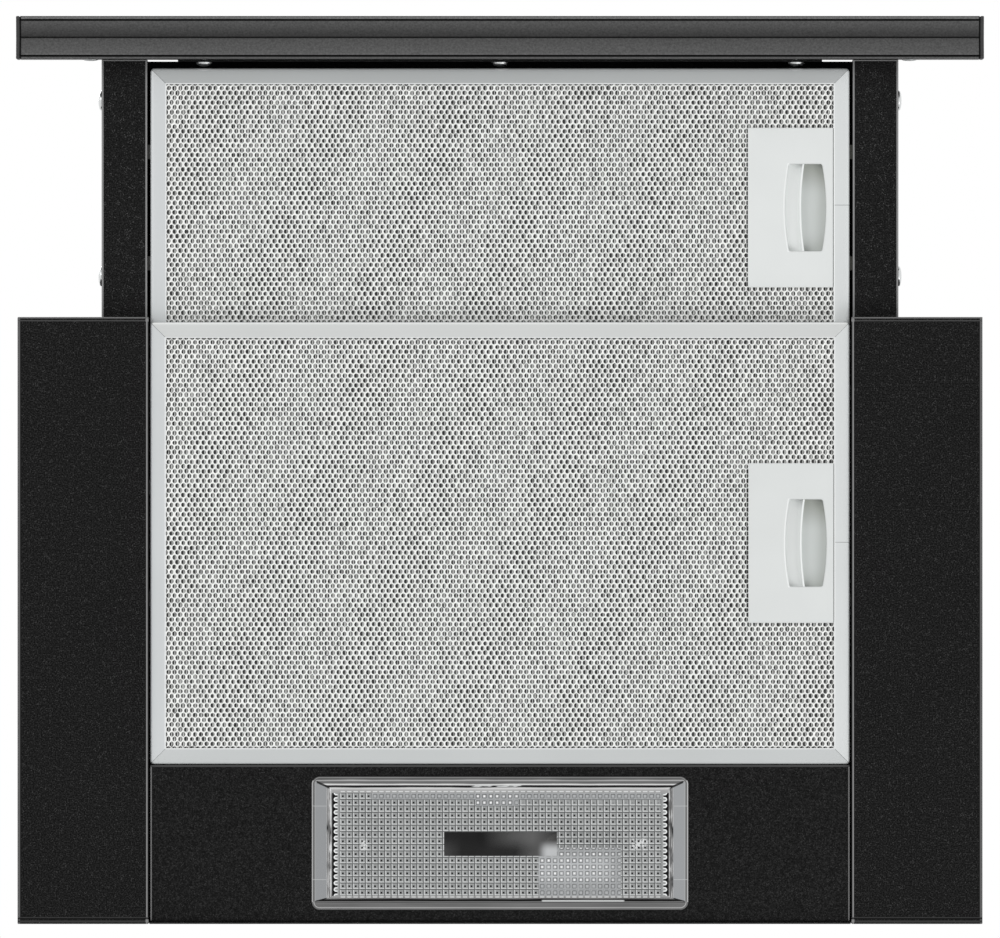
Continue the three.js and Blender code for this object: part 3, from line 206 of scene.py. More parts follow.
def softened(
    corners: Sequence[tuple[float, float]], radius: float | Sequence[float], steps: int = 4
) -> Array:
    """A closed outline with its corners rounded.

    Each corner becomes a curve from a point a radius before it to a point a radius after it,
    (1-t)^2 times the first, 2t(1-t) times the corner and t^2 times the last.

    Args:
        corners: the outline's corners in order.
        radius: how far the rounding reaches from each corner, one number or one for each.
        steps: points for each corner, less one.

    Returns:
        (n, 2) points.
    """
    p = np.array(corners, float)
    reach = np.broadcast_to(np.array(radius, float), len(p))[:, None]

    def towards(q: Array) -> Array:
        """Points a radius from each corner on the way to its neighbour.

        Args:
            q: the neighbours.

        Returns:
            (n, 2) points.
        """
        way = q - p
        size = np.linalg.norm(way, axis=1, keepdims=True)
        return p + way / size * np.minimum(reach, size * LONGEST_ROUNDING)

    before, after = towards(np.roll(p, 1, 0)), towards(np.roll(p, -1, 0))
    t = np.linspace(0, 1, steps + 1)[None, :, None]
    curve = (1 - t) ** 2 * before[:, None] + 2 * t * (1 - t) * p[:, None] + t**2 * after[:, None]
    return curve.reshape(-1, 2)


def bowed_outline(
    left: float, right: float, half: float, bow: float, corner: float, side: int = 12, turn: int = 5
) -> Array:
    """A rectangle whose two long sides bow outwards, with rounded corners.

    The right side is at right - bow * (y / half)^2, and the left side mirrors it. Each corner is
    a quarter circle.

    Args:
        left: x of the left side at its middle.
        right: x of the right side at its middle.
        half: half the length along y.
        bow: how far the sides' ends are inside their middles.
        corner: corner radius.
        side: points on each side.
        turn: points on each corner.

    Returns:
        (4 * (side + turn), 2) points, anticlockwise from the lower right.
    """
    y = np.linspace(-1, 1, side) * (half - corner)
    inset = bow * (y / half) ** 2
    end = bow * ((half - corner) / half) ** 2
    across = np.linspace(right - end - corner, left + end + corner, side + 2)[1:-1]
    top = half - corner
    return np.concatenate(
        [
            np.stack([right - inset, y], -1),
            arc((right - end - corner, top), corner, 0, 90, turn + 2)[1:-1],
            np.stack([across, np.full(side, half)], -1),
            arc((left + end + corner, top), corner, 90, 180, turn + 2)[1:-1],
            np.stack([left + inset, -y], -1),
            arc((left + end + corner, -top), corner, 180, 270, turn + 2)[1:-1],
            np.stack([across[::-1], np.full(side, -half)], -1),
            arc((right - end - corner, -top), corner, 270, 360, turn + 2)[1:-1],
        ]
    )


def block(x: Sequence[float], y: Sequence[float], z: Sequence[float], edge: float = 0.2) -> Shell:
    """A bar with rounded edges along y, the section softened and carried from end to end.

    Args:
        x: its two ends in x.
        y: its two ends in y.
        z: its two ends in z.
        edge: how far the rounding reaches.

    Returns:
        The closed surface.
    """
    section = softened([(z[0], x[0]), (z[1], x[0]), (z[1], x[1]), (z[0], x[1])], edge)
    return extruded("y", section, y[0], y[1])


# ---------------- Pieces


def mesh_of(name: str, shell: Shell) -> bpy.types.Mesh:
    """A Blender mesh in metres of a surface in millimetres.

    Args:
        name: the mesh's name.
        shell: the surface.

    Returns:
        The mesh.
    """
    mesh = bpy.data.meshes.new(name)
    counts = np.concatenate([np.full(len(f), f.shape[1]) for f in shell.faces])
    corners = np.concatenate([f.ravel() for f in shell.faces])
    mesh.vertices.add(len(shell.vertices))
    mesh.vertices.foreach_set("co", (shell.vertices * MM).astype(np.float32).ravel())
    mesh.loops.add(len(corners))
    mesh.loops.foreach_set("vertex_index", corners.astype(np.int32))
    mesh.polygons.add(len(counts))
    starts = np.concatenate([[0], np.cumsum(counts)[:-1]])
    mesh.polygons.foreach_set("loop_start", starts.astype(np.int32))
    mesh.update(calc_edges=True)
    return mesh


def welded(mesh: bpy.types.Mesh, flatten: bool = False) -> None:
    """Merges doubled vertices and points the faces outwards.

    Args:
        mesh: the mesh, changed in place.
        flatten: also joins faces that lie in one plane.
    """
    work = bmesh.new()
    work.from_mesh(mesh)
    bmesh.ops.remove_doubles(work, verts=work.verts, dist=WELD * MM)
    if flatten:
        bmesh.ops.dissolve_limit(
            work, angle_limit=math.radians(FLAT), verts=work.verts, edges=work.edges
        )
    bmesh.ops.recalc_face_normals(work, faces=work.faces)
    work.to_mesh(mesh)
    work.free()


def smoothed(mesh: bpy.types.Mesh, angle: float) -> None:
    """Shades a mesh smooth, apart from edges sharper than an angle in degrees."""
    mesh.shade_smooth()
    mesh.set_sharp_from_angle(angle=math.radians(angle))


@dataclass(frozen=True)
class Place:
    """What a piece belongs to: the CAD body that carries it, its slot and what it stands for."""

    body: str
    slot: str
    replaces: tuple[str, ...] = ()


def add_piece(
    name: str, mesh: bpy.types.Mesh, material: Material, place: Place
) -> bpy.types.Object:
    """Adds a mesh to the hood as a piece.

    Args:
        name: the piece's name.
        mesh: its mesh, in place.
        material: its finish.
        place: the body it rides on and the CAD nodes it replaces.

    Returns:
        The object.
    """
    piece = bpy.data.objects.new(name, mesh)
    bpy.context.scene.collection.objects.link(piece)
    mesh.materials.clear()
    mesh.materials.append(material)
    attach(piece, place.body)
    if place.replaces:
        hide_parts(*place.replaces)
    log.info("%s: %d faces, rides on %s", name, len(mesh.polygons), place.body)
    return piece


def add_shell(
    name: str,
    shell: Shell,
    material: Material,
    place: Place,
    angle: float = 35,
) -> bpy.types.Object:
    """Adds a surface to the hood as a piece, welded and shaded.

    Args:
        name: the piece's name.
        shell: its surface.
        material: its finish.
        place: where it belongs.
        angle: edges sharper than this stay sharp, in degrees.

    Returns:
        The object.
    """
    mesh = mesh_of(name, shell)
    welded(mesh)
    smoothed(mesh, angle)
    return add_piece(name, mesh, material, place)


def add_rounded_copy(
    node: str, material: Material, place: Place, edge: float, angle: float = 35
) -> bpy.types.Object:
    """Adds a copy of a CAD node with rounded edges, which stands for the node.

    Args:
        node: the CAD node.
        material: the copy's finish.
        place: the body and slot; the node is what it replaces.
        edge: radius of its edges; 0 leaves them sharp.
        angle: edges sharper than this are rounded, in degrees.

    Returns:
        The object.
    """
    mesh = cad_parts[node].data.copy()
    mesh.name = f"{node}_form"
    welded(mesh, flatten=True)
    smoothed(mesh, angle)
    place = Place(place.body, place.slot, (node,))
    piece = add_piece(f"{node}_form", mesh, material, place)
    if edge > 0:
        bevel = piece.modifiers.new("edges", "BEVEL")
        bevel.width = edge * MM
        bevel.segments = 3
        bevel.limit_method = "ANGLE"
        bevel.angle_limit = math.radians(angle)
        bevel.harden_normals = True
        bevel.use_clamp_overlap = True
    return piece


# ---------------- Shader arithmetic


def tone(code: int) -> Colour:
    """A colour written as 0xRRGGBB, in linear light."""
    parts = [((code >> shift) & 255) / 255 for shift in (16, 8, 0)]
    return tuple(c / 12.92 if c <= 0.04045 else ((c + 0.055) / 1.055) ** 2.4 for c in parts)


SMOOTH_STEP = {"interpolation_type": "SMOOTHSTEP", "clamp": True}


class Signal:
    """A shader socket's output as a number that takes part in Python arithmetic."""

    def __init__(self, sheet: "NodeSheet", socket: bpy.types.NodeSocket) -> None:
        """Keeps the node sheet and the output socket."""
        self.sheet = sheet
        self.socket = socket

    def _with(self, operation: str, *values: "Signal | float") -> "Signal":
        """The result of one Math node."""
        return self.sheet.node("ShaderNodeMath", {"operation": operation}, dict(enumerate(values)))

    def __add__(self, other: "Signal | float") -> "Signal":
        """Sum."""
        return self._with("ADD", self, other)

    __radd__ = __add__

    def __mul__(self, other: "Signal | float") -> "Signal":
        """Product."""
        return self._with("MULTIPLY", self, other)

    __rmul__ = __mul__

    def __sub__(self, other: "Signal | float") -> "Signal":
        """Difference."""
        return self._with("SUBTRACT", self, other)

    def __rsub__(self, other: float) -> "Signal":
        """Difference the other way round."""
        return self._with("SUBTRACT", other, self)

    def __truediv__(self, other: "Signal | float") -> "Signal":
        """Quotient."""
        return self._with("DIVIDE", self, other)

    def __rtruediv__(self, other: float) -> "Signal":
        """Quotient the other way round."""
        return self._with("DIVIDE", other, self)

    def __pow__(self, power: float) -> "Signal":
        """Power."""
        return self._with("POWER", self, power)

    def __rpow__(self, base: float) -> "Signal":
        """Power the other way round."""
        return self._with("POWER", base, self)

    def __abs__(self) -> "Signal":
        """Size without sign."""
        return self._with("ABSOLUTE", self)

    def largest(self, other: "Signal | float") -> "Signal":
        """The larger of two numbers."""
        return self._with("MAXIMUM", self, other)

    def smallest(self, other: "Signal | float") -> "Signal":
        """The smaller of two numbers."""
        return self._with("MINIMUM", self, other)

    def wrapped(self, step: float) -> "Signal":
        """Distance past the last whole number of steps, from -step / 2 to step / 2."""
        return self._with("WRAP", self, step / 2, -step / 2)

    def rise(self, low: float, high: float) -> "Signal":
        """0 below low, 1 above high, and a smooth step between them."""
        inputs = {"Value": self, "From Min": low, "From Max": high}
        return self.sheet.node("ShaderNodeMapRange", SMOOTH_STEP, inputs)

    def past(self, at: float, soft: float) -> "Signal":
        """0 before a value, 1 after it, and a smooth step as far to each side as it is soft."""
        return self.rise(at - soft, at + soft)

    def near(self, at: float, reach: float, soft: float) -> "Signal":
        """1 within a reach of a value, falling to 0 over a soft edge."""
        return 1 - abs(self - at).rise(reach - soft / 2, reach + soft / 2)

    def between(self, low: float, high: float, soft: float) -> "Signal":
        """1 between two values, falling to 0 over a soft edge outside them."""
        return self.near((low + high) / 2, (high - low) / 2, soft)


class NodeSheet:
    """A material's nodes, written as expressions."""

    def __init__(self, name: str) -> None:
        """Makes a material with an empty node tree.

        Args:
            name: the material's name.
        """
        self.material = bpy.data.materials.new(name)
        self.material.use_nodes = True
        self.tree = self.material.node_tree
        self.tree.nodes.clear()

    def node(
        self, kind: str, settings: dict[str, Any] | None = None,
        inputs: dict[str | int, Any] | None = None, output: str | int = 0,
    ) -> Signal:
        """Adds one node.

        Args:
            kind: the node's type.
            settings: its properties, set first; "stops" are a ramp's (place, colour) pairs.
            inputs: values or signals of its sockets, by name or number.
            output: which of its outputs is wanted.

        Returns:
            That output.
        """
        made = self.tree.nodes.new(kind)
        for key, value in (settings or {}).items():
            if key == "stops":
                self._set_stops(made.color_ramp, value)
            else:
                setattr(made, key, value)
        for key, value in (inputs or {}).items():
            if isinstance(value, Signal):
                self.tree.links.new(value.socket, made.inputs[key])
            elif isinstance(value, tuple) and len(value) == 3 and made.inputs[key].type == "RGBA":
                made.inputs[key].default_value = (*value, 1)
            else:
                made.inputs[key].default_value = value
        return Signal(self, made.outputs[output])

    @staticmethod
    def _set_stops(ramp: bpy.types.ColorRamp, stops: Sequence[tuple[float, Colour]]) -> None:
        """Gives a colour ramp its stops.

        Args:
            ramp: the ramp, which starts with two.
            stops: each stop's place from 0 to 1, and its colour.
        """
        for _ in range(len(stops) - 2):
            ramp.elements.new(0.5)
        for element, (at, colour) in zip(ramp.elements, stops):
            element.position = at
            element.color = (*colour, 1)

    def place(self) -> tuple[Signal, Signal, Signal, Signal]:
        """The point on the object in millimetres.

        Returns:
            It as a vector, and its x, y and z.
        """
        metres = self.node("ShaderNodeTexCoord", output="Object")
        vector = self.node(
            "ShaderNodeVectorMath", {"operation": "SCALE"}, {0: metres, "Scale": 1 / MM}
        )
        split = self.tree.nodes.new("ShaderNodeSeparateXYZ")
        self.tree.links.new(vector.socket, split.inputs[0])
        return vector, *(Signal(self, split.outputs[i]) for i in range(3))

    def stretched(self, vector: Signal, scale: Colour) -> Signal:
        """A vector with each of its numbers scaled."""
        settings = {"operation": "MULTIPLY"}
        return self.node("ShaderNodeVectorMath", settings, {0: vector, 1: scale})

    def noise(
        self, vector: Signal, scale: float, detail: float = 2.0, rough: float = 0.5
    ) -> Signal:
        """Smooth noise about 0.5, its grain 1 / scale millimetres."""
        inputs = {"Vector": vector, "Scale": scale, "Detail": detail, "Roughness": rough}
        return self.node("ShaderNodeTexNoise", {"noise_dimensions": "3D"}, inputs)

    def cells(self, vector: Signal, scale: float) -> Signal:
        """Distance to the nearest of scattered points, in cells of 1 / scale millimetres."""
        inputs = {"Vector": vector, "Scale": scale}
        return self.node("ShaderNodeTexVoronoi", {"feature": "F1"}, inputs)

    def mixed(self, factor: Signal | float, low: Signal | Colour, high: Signal | Colour) -> Signal:
        """A colour between two colours."""
        settings = {"data_type": "RGBA", "clamp_factor": True}
        return self.node("ShaderNodeMix", settings, {0: factor, 6: low, 7: high}, output=2)

    def ramp(self, value: Signal, stops: Sequence[tuple[float, int]]) -> Signal:
        """A colour that follows a value through stops of a value and a colour 0xRRGGBB each."""
        settings = {"stops": [(at / stops[-1][0], tone(code)) for at, code in stops]}
        return self.node("ShaderNodeValToRGB", settings, {0: value / stops[-1][0]})

    def shaded(self, colour: Signal | Colour, amount: Signal) -> Signal:
        """A colour times a number.

        Args:
            colour: the colour.
            amount: the number.

        Returns:
            The product, each of its parts scaled alike.
        """
        grey = self.node("ShaderNodeCombineColor", None, {0: amount, 1: amount, 2: amount})
        settings = {"data_type": "RGBA", "blend_type": "MULTIPLY"}
        return self.node("ShaderNodeMix", settings, {0: 1.0, 6: colour, 7: grey}, output=2)

    def bump(self, height: Signal, depth: float, strength: float = 1.0) -> Signal:
        """A normal from a height whose whole range is a depth in millimetres."""
        inputs = {"Height": height, "Distance": depth * MM, "Strength": strength}
        return self.node("ShaderNodeBump", None, inputs)

    def principled(self, inputs: dict[str, Any]) -> Material:
        """Ends the sheet with a Principled shader.

        Args:
            inputs: its sockets' values and signals.

        Returns:
            The material.
        """
        return self.ended(self.node("ShaderNodeBsdfPrincipled", None, inputs))

    def ended(self, shader: Signal) -> Material:
        """Joins a shader to the material's output.

        Args:
            shader: the shader.

        Returns:
            The material.
        """
        end = self.tree.nodes.new("ShaderNodeOutputMaterial")
        self.tree.links.new(shader.socket, end.inputs["Surface"])
        return self.material


# ---------------- Finishes


class Across(Enum):
    """Which way a fold line is measured."""

    SIDEWAYS = "distance from the hood's middle plane"
    DEPTH = "place along the hood's depth"


@dataclass(frozen=True)
class FoldLine:
    """A line painted along a fold or a cut edge: a painted highlight if light, painted shade if
    dark.
    """

    across: Across
    at: float
    reach: float
    colour: Colour
    top: float = 1.4


@dataclass(frozen=True)
class PowderCoat:
    """Black powder coat: fine orange peel with painted glints, and painted highlights and shade on
    its folds.
    """

    name: str
    colour: Colour = tone(0x1B1B1B)
    speck: Colour = tone(0x565656)
    notch_tone: Colour = tone(0x848484)
    grain: float = 1.0
    folds: tuple[FoldLine, ...] = ()
    fold_soft: float = 0.35
    top_soft: float = 0.3
    notches: tuple[tuple[float, float], ...] = ()
    notch_half: float = 0.75
    notch_soft: float = 0.4
    notch_top: float = 1.5
    peel_scale: float = 1.4
    peel_light: float = 0.78
    cloud_scale: float = 0.02
    fleck_scale: float = 1.1
    fleck_strength: float = 0.45
    fleck_patch_scale: float = 0.35
    roughness: float = 0.52

    def material(self) -> Material:
        """The finish as a material.

        Returns:
            The material.
        """
        sheet = NodeSheet(self.name)
        vector, x, y, z = sheet.place()
        peel = sheet.noise(vector, self.peel_scale, 2.0, 0.7)
        clouds = sheet.noise(vector, self.cloud_scale, 1.0)
        # painted glints: the peel's bumps are made lighter where they would catch the light
        bright = (peel * 2) ** 4 * self.peel_light
        amount = (1 - self.grain + bright * self.grain) * (1 + (clouds - 0.5) * 0.3)
        colour = sheet.shaded(self.colour, amount)
        flecks = 1 - sheet.cells(vector, self.fleck_scale).rise(0.12, 0.36)
        chosen = sheet.noise(vector, self.fleck_patch_scale, 0.0).rise(0.48, 0.62)
        flecks = flecks * chosen * (self.fleck_strength * self.grain)
        colour = sheet.mixed(flecks, colour, self.speck)
        # painted highlights and painted shade along the folds
        for fold in self.folds:
            value = abs(x) if fold.across is Across.SIDEWAYS else y
            low = 1 - z.past(fold.top, self.top_soft)
            line = value.near(fold.at, fold.reach, self.fold_soft) * low
            colour = sheet.mixed(line, colour, fold.colour)
        for at_x, at_y in self.notches:
            spot = abs(x).near(at_x, self.notch_half, self.notch_soft)
            spot = spot * y.near(at_y, self.notch_half, self.notch_soft)
            low = 1 - z.past(self.notch_top, self.top_soft)
            colour = sheet.mixed(spot * low, colour, self.notch_tone)
        return sheet.principled(
            {
                "Base Color": colour,
                "Roughness": self.roughness + (peel - 0.5) * 0.4,
                "Specular IOR Level": 0.06,
                "Normal": sheet.bump(peel, 0.08, 0.4),
            }
        )


@dataclass(frozen=True)
class BrightMetal:
    """Bright zinc, steel or plain aluminium: cloudy roughness and fine scratches along an axis."""

    name: str
    colour: Colour
    roughness: float = 0.3
    stretch: Colour = (0.05, 1.0, 1.0)
    scratch: float = 0.1
    scratch_scale: float = 4.0
    cloud: float = 0.16
    cloud_scale: float = 0.12

    def material(self) -> Material:
        """The finish as a material.

        Returns:
            The material.
        """
        sheet = NodeSheet(self.name)
        vector, *_ = sheet.place()
        lines = sheet.noise(sheet.stretched(vector, self.stretch), self.scratch_scale, 2.0)
        clouds = sheet.noise(vector, self.cloud_scale, 2.0)
        amount = 1 + (lines - 0.5) * self.scratch + (clouds - 0.5) * self.cloud
        return sheet.principled(
            {
                "Base Color": sheet.shaded(self.colour, amount),
                "Metallic": 1.0,
                "Roughness": self.roughness + (clouds - 0.5) * 0.2 + (lines - 0.5) * 0.08,
                "Normal": sheet.bump(lines, 0.01, 0.25),
            }
        )


@dataclass(frozen=True)
class MouldedPlastic:
    """Moulded plastic: a faint grain in the surface and slow changes of tone."""

    name: str
    colour: Colour
    roughness: float = 0.5
    grain: float = 0.02
    grain_scale: float = 3.0
    cloud_scale: float = 0.04
    specular: float = 0.3

    def material(self) -> Material:
        """The finish as a material.

        Returns:
            The material.
        """
        sheet = NodeSheet(self.name)
        vector, *_ = sheet.place()
        fine = sheet.noise(vector, self.grain_scale, 2.0)
        slow = sheet.noise(vector, self.cloud_scale, 1.0)
        amount = 1 + (slow - 0.5) * 0.08 + (fine - 0.5) * 0.04
        return sheet.principled(
            {
                "Base Color": sheet.shaded(self.colour, amount),
                "Roughness": self.roughness + (slow - 0.5) * 0.12,
                "Specular IOR Level": self.specular,
                "Normal": sheet.bump(fine, self.grain, 0.4),
            }
        )


@dataclass(frozen=True)
class RolledBar:
    """Satin aluminium of a filter's frame: drawn lines, mitred corners, one butt joint, and painted
    light and shade.
    """

    name: str
    half_x: float
    half_y: float
    middle_y: float
    bottom: float
    bar: float
    seam_y: float
    # painted light and shade: each bar's tone is a lit or shaded copy of one aluminium, by the side
    # it is on
    left: Colour = tone(0xCED1D2)
    right: Colour = tone(0xD7DADA)
    front: Colour = tone(0xCED0CF)
    rear: Colour = tone(0xC5C8C8)
    outer_wall_shade: Colour = tone(0x4A4A48)
    joint: Colour = tone(0x6A6C6C)
    joint_half: float = 0.12
    mitre_half: float = 0.16
    hem_highlight: Colour = tone(0xEEF0F0)
    hem_highlight_half: float = 0.32
    # painted reflections of the screws, as light patches on the front bar
    screw_reflections: tuple[float, ...] = ()
    spot: Colour = tone(0xE4E6E6)
    reflection_rim: Colour = tone(0x8C8E8E)
    reflection_half_x: float = 4.4
    reflection_half_y: float = 1.3

    def material(self) -> Material:
        """The finish as a material.

        Returns:
            The material.
        """
        sheet = NodeSheet(self.name)
        vector, x, y, z = sheet.place()
        y = y - self.middle_y
        to_side, to_end = self.half_x - abs(x), self.half_y - abs(y)
        across = to_end.past(self.bar, 0.01)
        ends = sheet.mixed(y.past(0, 1), self.front, self.rear)
        is_end = (1 - across) * (to_side - to_end).past(0, 0.01)
        sides = sheet.mixed(x.past(0, 1), self.left, self.right)
        colour = sheet.mixed(is_end, sides, ends)
        inset = to_side.smallest(to_end)
        drawn = sheet.noise(sheet.stretched(vector, (0.012, 0.012, 0.0)), 1.0, 2.0)
        rows = self.drawn_rows(sheet, inset)
        under = 1 - z.past(self.bottom + 0.9, 0.3)
        # painted shade rolling off towards the outer edges, and a painted highlight along the front
        # edge
        front_edge_highlight = is_end * (1 - y.past(0, 1)) * (1 - inset.rise(0.8, 1.3))
        fade = inset.rise(-0.4, 1.0) * 0.2 + 0.8 + front_edge_highlight * 0.3
        amount = fade + (drawn - 0.5) * 0.12 + (rows - 0.5) * 0.05
        colour = sheet.shaded(colour, amount)
        mitre = abs(to_side - to_end).near(0, self.mitre_half, 0.2) * under
        seam = y.near(self.seam_y, self.joint_half, 0.2) * x.rise(0, 1) * under
        # painted highlight along the inner hem, and painted shade on the outer wall
        hem_highlight = inset.near(self.bar - 0.2, self.hem_highlight_half, 0.3) * under
        colour = sheet.mixed((0 - to_side).rise(0.1, 0.4), colour, self.outer_wall_shade)
        colour = sheet.mixed(mitre.largest(seam) * 0.7, colour, self.joint)
        colour = sheet.mixed(hem_highlight * 0.85, colour, self.hem_highlight)
        # painted reflections of the screws: a light patch with a darker rim under each
        beyond = (y + self.half_y) / self.reflection_half_y
        for at in self.screw_reflections:
            away = (((x - at) / self.reflection_half_x) ** 2.0 + beyond**2.0).rise(0.7, 1.1)
            edge = away.near(0.5, 0.25, 0.4) * under
            colour = sheet.mixed((1 - away) * under * 0.6, colour, self.spot)
            colour = sheet.mixed(edge * 0.35, colour, self.reflection_rim)
        return sheet.principled(
            {
                "Base Color": colour,
                "Metallic": 0.25,
                "Roughness": 0.42 + (drawn - 0.5) * 0.15,
                "Specular IOR Level": 0.3,
                "Normal": sheet.bump(mitre.largest(seam) * -1 + rows * 0.05, 0.25, 0.5),
            }
        )

    @staticmethod
    def drawn_rows(sheet: NodeSheet, inset: Signal) -> Signal:
        """Drawing lines that run along the bars: noise that depends on the inset alone."""
        line = sheet.node("ShaderNodeCombineXYZ", None, {0: inset, 1: inset * 0.5})
        return sheet.noise(line, 2.2, 3.0)


@dataclass(frozen=True)
class StrandMetal:
    """Expanded aluminium: pale strands whose brightness wanders from one to the next."""

    name: str
    colour: Colour
    wander: float
    shine: float = 0.2
    patch_scale: float = 0.35
    grain_scale: float = 1.8

    def material(self) -> Material:
        """The finish as a material.

        Returns:
            The material.
        """
        sheet = NodeSheet(self.name)
        vector, *_ = sheet.place()
        patch = sheet.noise(vector, self.patch_scale, 2.0)
        fine = sheet.noise(vector, self.grain_scale, 1.0)
        amount = 1 + (patch - 0.5) * self.wander + (fine - 0.5) * self.wander * 0.5
        return sheet.principled(
            {
                "Base Color": sheet.shaded(self.colour, amount),
                "Metallic": self.shine,
                "Roughness": 0.4 + (fine - 0.5) * 0.2,
                "Normal": sheet.bump(fine, 0.06, 0.3),
            }
        )


@dataclass(frozen=True)
class StripCoat:
    """Dark grey satin coat of the front strip, with painted light and shade by facet and painted
    shade in the grooves.
    """

    name: str
    front: float
    lip: float
    valley: float
    rear_lip: float
    depth: float
    half: float
    # lip_tone, fore, aft, side and rear_tone are painted light and shade of one grey coat; dark is
    # painted shade in the grooves
    lip_tone: Colour = tone(0x6C6C6C)
    rear_tone: Colour = tone(0x545454)
    fore: tuple[Colour, Colour] = (tone(0x555555), tone(0x3B3B3B))
    aft: tuple[Colour, Colour] = (tone(0x535353), tone(0x595959))
    side: Colour = tone(0x4A4A4A)
    side_z: float = 5.9
    dark: Colour = tone(0x080808)
    dark_z: float = 7.0
    grain: float = 1.35
    grain_scale: float = 0.95

    def material(self) -> Material:
        """The finish as a material.

        Returns:
            The material.
        """
        sheet = NodeSheet(self.name)
        vector, x, y, z = sheet.place()
        into = y - self.front
        groove = self.depth - self.rear_lip
        fine = sheet.noise(vector, self.grain_scale, 2.0, 0.65)
        long = sheet.noise(sheet.stretched(vector, (0.01, 0.4, 0.4)), 1.0, 2.0)
        # painted light and shade: each facet lighter or darker by how it faces the light
        fore = sheet.mixed(into.rise(self.lip, self.valley), *self.fore)
        aft = sheet.mixed(into.rise(self.valley, groove), *self.aft)
        colour = sheet.mixed(into.past(self.valley, 0.1), fore, aft)
        # painted highlight on the lips
        edge = 1 - into.past(self.lip, 0.1)
        colour = sheet.mixed(edge, colour, self.lip_tone)
        colour = sheet.mixed(1 - into.rise(0.3, 0.6), colour, self.side)
        colour = sheet.mixed(into.near(groove - 1.3, 0.3, 0.3) * 0.35, colour, self.lip_tone)
        last = into.past(self.depth - 0.7, 0.2)
        colour = sheet.mixed(last, colour, self.rear_tone)
        colour = sheet.mixed(z.past(self.side_z, 0.5), colour, self.side)
        # painted shade: near-black lines in the grooves, and a dark line at the joints with the end
        # caps
        beside_lip = into.near(self.lip + 0.46, 0.5, 0.2)
        in_valley = into.near(self.valley - 0.16, 0.36, 0.2) * 0.7
        beside_rear_lip = into.near(groove - 0.3, 0.55, 0.15)
        beside_caps = abs(x).past(self.half - 0.5, 0.1)
        lines = beside_lip.largest(in_valley).largest(beside_rear_lip).largest(beside_caps)
        under = 1 - z.past(self.dark_z, 0.4)
        colour = sheet.mixed(lines * under * 0.97, colour, self.dark)
        colour = sheet.shaded(colour, 1 + (fine - 0.5) * self.grain + (long - 0.5) * 0.12)
        return sheet.principled(
            {
                "Base Color": colour,
                "Metallic": 0.15,
                "Roughness": 0.48 + (fine - 0.5) * 0.3,
                "Specular IOR Level": 0.12,
                "Normal": sheet.bump(fine, 0.05, 0.35),
            }
        )


@dataclass(frozen=True)
class LatchPlastic:
    """Pale satin plastic of the latches, with painted shade in the recess's right-hand part and
    painted highlights on its rims.
    """

    name: str
    line_x: float
    line_bow: float
    middle_y: float
    half: float
    end_x: float
    colour: Colour
    shelf: Colour
    # bright is a painted highlight; deep and deepest are painted shade
    bright: Colour = tone(0xF4F7F6)
    deep: Colour = tone(0xD1D5D3)
    deepest: Colour = tone(0xA9ACA6)
    tongue_end: Colour = tone(0x6B6B64)
    grain_scale: float = 3.0
    cloud_scale: float = 0.05
    floor: bool = False

    def material(self) -> Material:
        """The finish as a material.

        Returns:
            The material.
        """
        sheet = NodeSheet(self.name)
        vector, x, y, _ = sheet.place()
        fine = sheet.noise(vector, self.grain_scale, 2.0)
        slow = sheet.noise(vector, self.cloud_scale, 1.0)
        colour = sheet.shaded(self.colour, 1 + (slow - 0.5) * 0.05 + (fine - 0.5) * 0.02)
        v = y - self.middle_y
        beyond = x - self.line_x - (v / self.half) ** 2.0 * self.line_bow
        if self.floor:
            # painted shade: darker towards the recess's ends and its far side
            front = (0 - v).rise(self.half * 0.25, self.half * 1.02)
            rear = v.rise(self.half * 0.5, self.half * 1.1) * 0.45
            far = beyond.rise(4, 13) * 0.35
            deep = sheet.mixed(front + rear + far, self.deep, self.deepest)
            # the shelf is painted lighter than the plate, against the recess's shade
            colour = sheet.mixed(beyond.past(0, 0.1), self.shelf, deep)
            # painted highlight along the rib
            colour = sheet.mixed(beyond.near(0, 0.5, 0.2), colour, self.bright)
            colour = sheet.mixed((x - self.end_x).rise(-0.2, 0.4), colour, self.tongue_end)
        else:
            # painted highlight round the recess's rim
            edge = beyond.near(-0.45, 0.4, 0.3) * v.near(0, self.half + 0.4, 0.4)
            colour = sheet.mixed(edge, colour, self.bright)
        return sheet.principled(
            {
                "Base Color": colour,
                "Roughness": 0.5 + (slow - 0.5) * 0.1,
                "Specular IOR Level": 0.3,
                "Normal": sheet.bump(fine, 0.015, 0.3),
            }
        )


Stops = tuple[tuple[float, int], ...]  # millimetres and 0xRRGGBB


@dataclass(frozen=True)
class CoverTones:
    """The greys of the lamp cover, each named for what shows it; most are painted light and shade.
    """

    bump: Colour = tone(0xECEEEE)
    mitre: Colour = tone(0x141414)
    glare: Colour = tone(0xDCDEDE)
    parting: Colour = tone(0xCFD1D1)
    tooth: Colour = tone(0x9C9E9E)
    tooth_gap: Colour = tone(0x0E0E0E)
    tooth_rim: Colour = tone(0xF2F4F4)
    face: Colour = tone(0xA4A6A6)
    shade: Colour = tone(0x767878)
    bright_side: Colour = tone(0xEAECEC)
    line: Colour = tone(0x565858)
    lit: Colour = tone(0xBEC0C2)
    bulb: Colour = tone(0xD4D6D8)
    glint: Colour = tone(0xF4F6F6)
    ring: Colour = tone(0x5A5C5C)
    dot: Colour = tone(0x101010)
    lit_dot: Colour = tone(0xFAFAFA)
    glow: Colour = tone(0xCCCED0)


